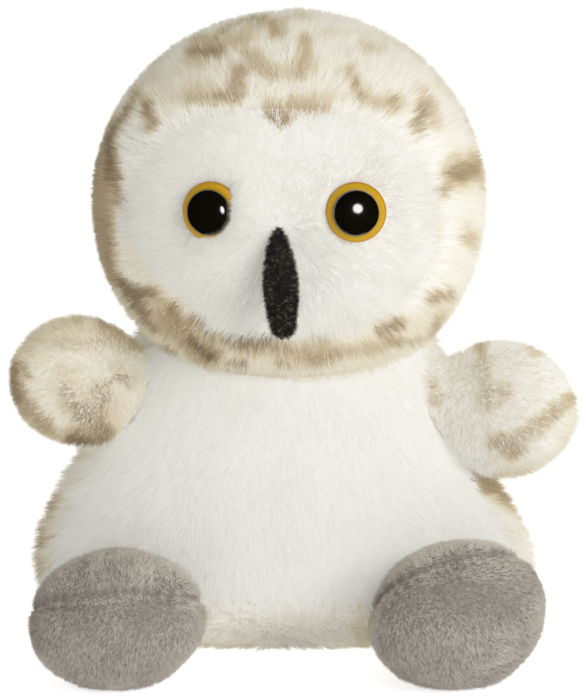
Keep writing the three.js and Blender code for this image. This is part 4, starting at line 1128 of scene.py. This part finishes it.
# Where the white ends, the face's fibres take the spotted plush's colours, with the brown spots among them.
strokes = head_strokes(HEAD_SPOTS_AND_SHADE)
tips = roots + (0.5 * nap + 0.7 * normals) * length[:, None]
ragged = 0.02 * drift(roots, 2 * MM, 114)[:, 0] + rng.normal(0, 0.015, len(roots))
drawn = spots(roots + 1.2 * MM * nap, strokes)
spotted = (past_white(tips) + ragged > 1) | (drawn > 0.25) & (roots[:, 2] > FACE_Z + 12 * MM)
# The face's white is drawn greyer than the belly's as painted shade, wavers at random, and greys further towards
# the left side as painted shade.
white_tone_and_shade = 0.78 + 0.22 * drift(roots, 6 * MM, 112)[:, 0] + 0.15 * drift(roots, 2.2 * MM, 118)[:, 0]
white_tone_and_shade += 0.22 * smooth((-5 * MM - roots[:, 0]) / (16 * MM)) + rng.normal(0, 0.12, len(roots))
spotted_tone = BASE_TONE + 0.08 + 0.85 * drawn + rng.normal(0, 0.05, len(roots))
for name, ours, tone, material, slot in (
    ("face_pile", kept & ~spotted, white_tone_and_shade, white_pile, "white_plush"),
    ("face_rim_pile", kept & spotted, spotted_tone, spotted_pile, "spotted_plush"),
):
    made = pile(
        name, roots[ours], normals[ours], nap[ours], tone[ours], 113, length=length[ours], lean=lean[ours],
        width=0.11 * MM, tuft=0.9 * MM, unrest=0.3, gather=0.25, wander=0.3, glint=0.15,
    )
    dress(made, material, "head", slot)

CROWN_SLACK, PILE_OVERLAP = 0.004, 0.012  # radians: half of the open seam, and how far the pile reaches over it
for side, crown, pile_length in (("right", 0.0, 3.1 * MM), ("left", np.pi, 2.45 * MM)):
    from_angle, to_angle = crown + CROWN_SLACK, crown + np.pi - CROWN_SLACK
    cloth = cloth_shell(f"head_cloth_{side}", head_surface, *head_grid(from_angle, to_angle))
    dress(cloth, spotted_cloth, "head", "spotted_plush", [f"head_panel_{side}"])
    for part, ends in (("front", (0, 0.42)), ("back", (0.42, 1))):
        seed = {"right": 120, "left": 130}[side] + (5 if part == "back" else 0)
        rng = np.random.default_rng(seed)
        u, v = head_grid(from_angle - PILE_OVERLAP, to_angle + PILE_OVERLAP, ends=ends)
        per_mm2 = 12.5 if part == "front" else 9.5
        roots, normals = scattered(head_surface, u, v, rng, per_mm2, free=lambda p: torso_share(p) > 0.9)
        behind = smooth((roots[:, 1] + 1 * MM) / (7 * MM))
        nap = unit(
            (roots - HEAD_MIDDLE) * np.array([1, 0, 1]) / HEAD_HALF_WIDTH
            + np.array([0, 0.8, 0])
            - 0.9 * behind[:, None] * UP
        )
        drawn = spots(roots + 1.2 * MM * nap, strokes)
        shade = np.maximum(drawn * (1 - behind), 0.8 * blotches(roots, BLOTCH_SIZE, 140) * behind)
        # Under the face the spotted pile is drawn a little darker, as painted shade beneath its overhang.
        shade_under_face = smooth((FACE_Z - 14 * MM - roots[:, 2]) / (6 * MM)) * (1 - behind)
        whiter = smooth((1.07 - past_white(roots + 1.4 * MM * nap)) / 0.1)
        # The head's left rim is drawn darker, partly as brown and partly as painted shade on that side.
        left_rim_brown_and_shade = smooth((-31.8 * MM - roots[:, 0]) / (2.5 * MM)) * (1 - behind)
        shade = np.maximum(shade, 0.45 * left_rim_brown_and_shade) + 0.12 * left_rim_brown_and_shade
        tone = BASE_TONE + 0.1 * shade_under_face - 0.1 * whiter + 0.85 * shade + rng.normal(0, 0.05, len(roots))
        made = pile(
            f"head_pile_{side}_{part}", roots, normals, nap, tone, seed + 1, length=pile_length, lean=0.6,
            width=0.115 * MM, tuft=0.9 * MM, unrest=0.3, gather=0.4, glint=0.25,
        )
        dress(made, spotted_pile, "head", "spotted_plush")

# Eyes
# Moulded safety eyes: a golden flange with a thin orange edge, and a glossy black domed pupil in front of it,
# on one ribbed shank that goes through the face into its lock washer.
IRIS_BACK, IRIS_FRONT, IRIS_EDGE = -1.0 * MM, 0.5 * MM, -0.3 * MM
IRIS_SLOPE, IRIS_FLAT = 5.3 * MM, 5.05 * MM  # where the flange's rounded slope begins and where it is flat
PUPIL_RADIUS, PUPIL_BACK, PUPIL_RISE, PUPIL_WALL = 4.6 * MM, 0.7 * MM, 1.9 * MM, 0.25 * MM
SHANK_RADIUS, SHANK_HOLE, SHANK_END = 1.9 * MM, 2.1 * MM, -6.5 * MM
RIBS, RIB_STEP, RIB_DEPTH = 11, 0.45 * MM, 0.35 * MM
TINT_START, TINT_WIDTH = 4.4 * MM, 1.6 * MM
IRIS_TINTS = [
    (0.0, (0.5, 0.25, 0.007)),
    (0.1, (0.62, 0.35, 0.008)),
    (0.72, (0.64, 0.375, 0.01)),
    (0.9, (0.56, 0.27, 0.008)),
    (1, (0.4, 0.15, 0.007)),
]


def lathe(name, outline, seat, out, around=96):
    """A closed form that a row of radii and heights describes about an axis; radius 0 closes its ends."""
    radii, heights = np.array(outline).T
    aside = unit(np.cross(out, UP))
    over = np.cross(out, aside)
    turn = np.linspace(0, 2 * np.pi, around + 1)
    ring = np.cos(turn)[:, None] * aside + np.sin(turn)[:, None] * over
    points = seat + radii[:, None, None] * ring[None] + heights[:, None, None] * out
    return merged(mesh_of(name, points.reshape(-1, 3), [between_rows(len(radii), around + 1)]), turned_out=True)


iris_finish, nodes, links, shader = finish_of("golden plastic", {"Roughness": 0.32})
where = nodes.new("ShaderNodeAttribute")
where.attribute_name = "radius"
tint = ramp(nodes, IRIS_TINTS)
links.new(where.outputs["Fac"], tint.inputs[0])
speck = nodes.new("ShaderNodeTexNoise")
speck.inputs["Scale"].default_value = 2500
place = nodes.new("ShaderNodeTexCoord")
links.new(place.outputs["Object"], speck.inputs["Vector"])
specked = mixed(nodes, links, tint.outputs[0], speck.outputs["Color"], "OVERLAY", 0.12)
links.new(specked, shader.inputs["Base Color"])
pupil_finish = finish_of("black glossy plastic", {
    "Base Color": (0.006, 0.0045, 0.003, 1),
    "Roughness": 0.1,
    "IOR": 1.9,
    "Specular IOR Level": 0.9,
})[0]
for side, (seat, out) in eyes.items():
    iris = lathe(
        f"{side}_iris_flange",
        [
            (SHANK_HOLE, IRIS_BACK),
            (IRIS_RADIUS - 0.2 * MM, IRIS_BACK),
            (IRIS_RADIUS, IRIS_BACK + 0.2 * MM),
            (IRIS_RADIUS, IRIS_EDGE - 0.15 * MM),
            (IRIS_RADIUS - 0.06 * MM, IRIS_EDGE + 0.02 * MM),
            (IRIS_RADIUS - 0.25 * MM, IRIS_EDGE + 0.2 * MM),
            (IRIS_SLOPE, IRIS_FRONT - 0.1 * MM),
            (IRIS_FLAT, IRIS_FRONT),
            (3.6 * MM, IRIS_FRONT),
            (SHANK_HOLE, IRIS_FRONT),
            (SHANK_HOLE, IRIS_BACK),
        ],
        seat,
        out,
    )
    mesh = iris.data
    points = np.empty(3 * len(mesh.vertices), np.float32)
    mesh.vertices.foreach_get("co", points)
    off = points.reshape(-1, 3) - seat
    radius = np.linalg.norm(off - (off @ out)[:, None] * out, axis=1)
    share = mesh.attributes.new("radius", "FLOAT", "POINT")
    share.data.foreach_set("value", ((radius - TINT_START) / TINT_WIDTH).clip(0, 1).astype(np.float32))
    dress(iris, iris_finish, "head", "iris", [f"{side}_iris"])
    dome = [
        (PUPIL_RADIUS * np.cos(t), PUPIL_BACK + PUPIL_WALL + (PUPIL_RISE - PUPIL_WALL) * np.sin(t))
        for t in np.linspace(0, np.pi / 2, 24)
    ]
    ribs = [(SHANK_RADIUS - RIB_DEPTH * (k % 2), SHANK_END + RIB_STEP * k) for k in range(RIBS)]
    pupil = lathe(
        f"{side}_pupil_dome",
        [(0, SHANK_END), *ribs, (SHANK_RADIUS, PUPIL_BACK), (PUPIL_RADIUS - 0.15 * MM, PUPIL_BACK), *dome],
        seat,
        out,
    )
    dress(pupil, pupil_finish, "head", "pupil", [f"{side}_pupil"])

# Beak
# A narrow leaf of black short-pile cloth, stuffed and sewn to the face at its top. Its lower end hangs free.
BEAK_DOWN = [0, 0.07, 0.22, 0.45, 0.66, 0.84, 0.95, 1]
BEAK_WIDTHS = [0.12, 0.44, 0.76, 1.0, 0.98, 0.83, 0.7, 0.36]
BEAK_DEPTHS = [0.14, 0.44, 0.74, 1.0, 0.98, 0.86, 0.74, 0.38]
BEAK_HALF_WIDTH, BEAK_HALF_DEPTH, BEAK_LENGTH = 3.6 * MM, 3.2 * MM, 22.4 * MM
BEAK_SINK, BEAK_STANDOFF = 2.0 * MM, 2.2 * MM  # how far its back is sunk in the face at the top, and off it below
BEAK_CLOTH_THICKNESS, BEAK_CLOTH_DEPTH, BEAK_TUFT = 0.35 * MM, 0.6 * MM, 0.42 * MM
beak_face = head_front(BEAK_X, BEAK_TOP)


def beak_surface(angle, knot, inset=0.0):
    """Ovals down the beak, from the top at knot 0 to the lower end at the last knot."""
    down = curve_at(BEAK_DOWN, knot)
    wide, deep = BEAK_HALF_WIDTH * curve_at(BEAK_WIDTHS, knot), BEAK_HALF_DEPTH * curve_at(BEAK_DEPTHS, knot)
    kept = np.maximum(0.02, 1 - inset / np.minimum(wide, deep))
    back = beak_face + BEAK_SINK * (1 - down) - BEAK_STANDOFF * down
    return np.stack(
        [
            BEAK_X + BEAK_LEAN * down + wide * kept * np.sin(angle),
            back - deep - deep * kept * np.cos(angle),
            BEAK_TOP - inset - (BEAK_LENGTH - 2 * inset) * down,
        ],
        -1,
    )


black_cloth = cloth_material("black short-pile backing", (0.02, 0.018, 0.017), (0.01, 0.009, 0.009), 2000)
# The chart's lightest end is painted glints on the fibres' tips.
BLACK_AND_GLINT_TONES = [
    (0, (0.004, 0.003, 0.002)),
    (0.5, (0.013, 0.009, 0.005)),
    (0.8, (0.055, 0.042, 0.028)),
    (1, (0.2, 0.165, 0.125)),
]
# Its roots are darkened as painted shade and its tips lightened as a painted highlight.
black_pile = pile_material(
    "black short pile", BLACK_AND_GLINT_TONES, [(0, 0.4), (1, 1.3)], roughness=0.5, specular=0.35, sheen=0.05
)
u, v = np.meshgrid(np.linspace(0, 2 * np.pi, 33), np.linspace(0, len(BEAK_DOWN) - 1, 60))
beak_cloth = cloth_shell("beak_cloth", beak_surface, u, v, BEAK_CLOTH_THICKNESS, BEAK_CLOTH_DEPTH, open_row=0)
dress(beak_cloth, black_cloth, "head", "black_velboa", ["beak_cover"])
rng = np.random.default_rng(151)
roots, normals = scattered(beak_surface, u, v, rng, per_mm2=24, depth=BEAK_CLOTH_DEPTH)
tuft_numbers = nearest_tuft(roots, BEAK_TUFT, 153)[1]
# Some tufts are drawn much lighter, as painted glints on their tips.
tone = 0.12 + 0.95 * tuft_numbers[:, 2] ** 2 + rng.normal(0, 0.12, len(roots))
beak_pile = pile(
    "beak_pile", roots, normals, np.broadcast_to(-UP, roots.shape), tone, 153, length=1.05 * MM, lean=0.5,
    width=0.12 * MM, tuft=BEAK_TUFT, unrest=0.7, gather=0.8, glint=1.4,
)
dress(beak_pile, black_pile, "head", "black_velboa")

# Floor
# The owl sits on a plain white studio surface, which keeps only a faint shadow because it glows a little itself.
PAPER_GLOW, SEEN_GLOW = 0.35, 0.35  # always, and added where the camera sees it
bpy.ops.mesh.primitive_plane_add(size=6)
floor = bpy.context.object
floor.name = "floor"
paper, nodes, links, shader = finish_of("white paper", {
    "Base Color": (0.92, 0.92, 0.92, 1),
    "Roughness": 1.0,
    "Specular IOR Level": 0,
    "Emission Color": (1, 1, 1, 1),
})
seen = nodes.new("ShaderNodeLightPath")
glow = nodes.new("ShaderNodeMath")
glow.operation = "MULTIPLY_ADD"
glow.inputs[1].default_value, glow.inputs[2].default_value = SEEN_GLOW, PAPER_GLOW
links.new(seen.outputs["Is Camera Ray"], glow.inputs[0])
links.new(glow.outputs[0], shader.inputs["Emission Strength"])
floor.data.materials.append(paper)
floor.visible_glossy = False

# Camera
# A long lens straight ahead of the owl and a little above it, as in a catalogue picture.
cam = bpy.data.cameras.new("camera")
camera = bpy.data.objects.new("camera", cam)
bpy.context.collection.objects.link(camera)
DISTANCE, VIEW_HEIGHT, SENSOR_HEIGHT = 3.0, 140 * MM, 36
aim = Vector((1.1 * MM, 0, 61.1 * MM))
camera.location = aim + DISTANCE * Vector((0, -np.cos(VIEW_DROP), np.sin(VIEW_DROP)))
camera.rotation_euler = (np.pi / 2 - VIEW_DROP, 0, 0)
cam.sensor_fit = "VERTICAL"
cam.sensor_height = SENSOR_HEIGHT
cam.lens = SENSOR_HEIGHT * DISTANCE / VIEW_HEIGHT
bpy.context.scene.camera = camera

# Light
# A small round softbox by the camera gives the catchlights, and a broad one on the right leaves the left side in
# soft shade. A weak one above and one behind light the crown and the back. Only the first shows in the eyes.
AMBIENT = 0.33
LIT = Vector((0, 0, 70 * MM))


def softbox(name, place, size, power, shine=False):
    """A flat round light at a place, turned to the owl."""
    light = bpy.data.lights.new(name, "AREA")
    light.shape, light.size, light.energy = "DISK", size, power
    made = bpy.data.objects.new(name, light)
    bpy.context.collection.objects.link(made)
    made.location = place
    made.rotation_euler = (LIT - Vector(place)).to_track_quat("-Z", "Y").to_euler()
    made.visible_glossy = shine


softbox("round softbox", (0.06, -1.25, 0.24), size=0.38, power=1.9, shine=True)
softbox("side softbox", (0.85, -0.9, 0.6), size=0.9, power=8.0)
softbox("top softbox", (0.3, -0.1, 1.2), size=1.0, power=1.2)
softbox("back softbox", (-0.25, 1.35, 0.5), size=0.9, power=5.5)
world = bpy.data.worlds.new("studio")
bpy.context.scene.world = world
world.use_nodes = True
nodes, links = world.node_tree.nodes, world.node_tree.links
background = nodes["Background"]
background.inputs["Color"].default_value = (1, 0.972, 0.85, 1)
seen = nodes.new("ShaderNodeLightPath")
level = nodes.new("ShaderNodeMapRange")
level.inputs["To Min"].default_value = AMBIENT
links.new(seen.outputs["Is Camera Ray"], level.inputs["Value"])
dull = nodes.new("ShaderNodeMath")
dull.operation = "SUBTRACT"
links.new(level.outputs[0], dull.inputs[0])
links.new(seen.outputs["Is Glossy Ray"], dull.inputs[1])
dull.use_clamp = True
links.new(dull.outputs[0], background.inputs["Strength"])
bpy.context.scene.view_settings.view_transform = "Standard"
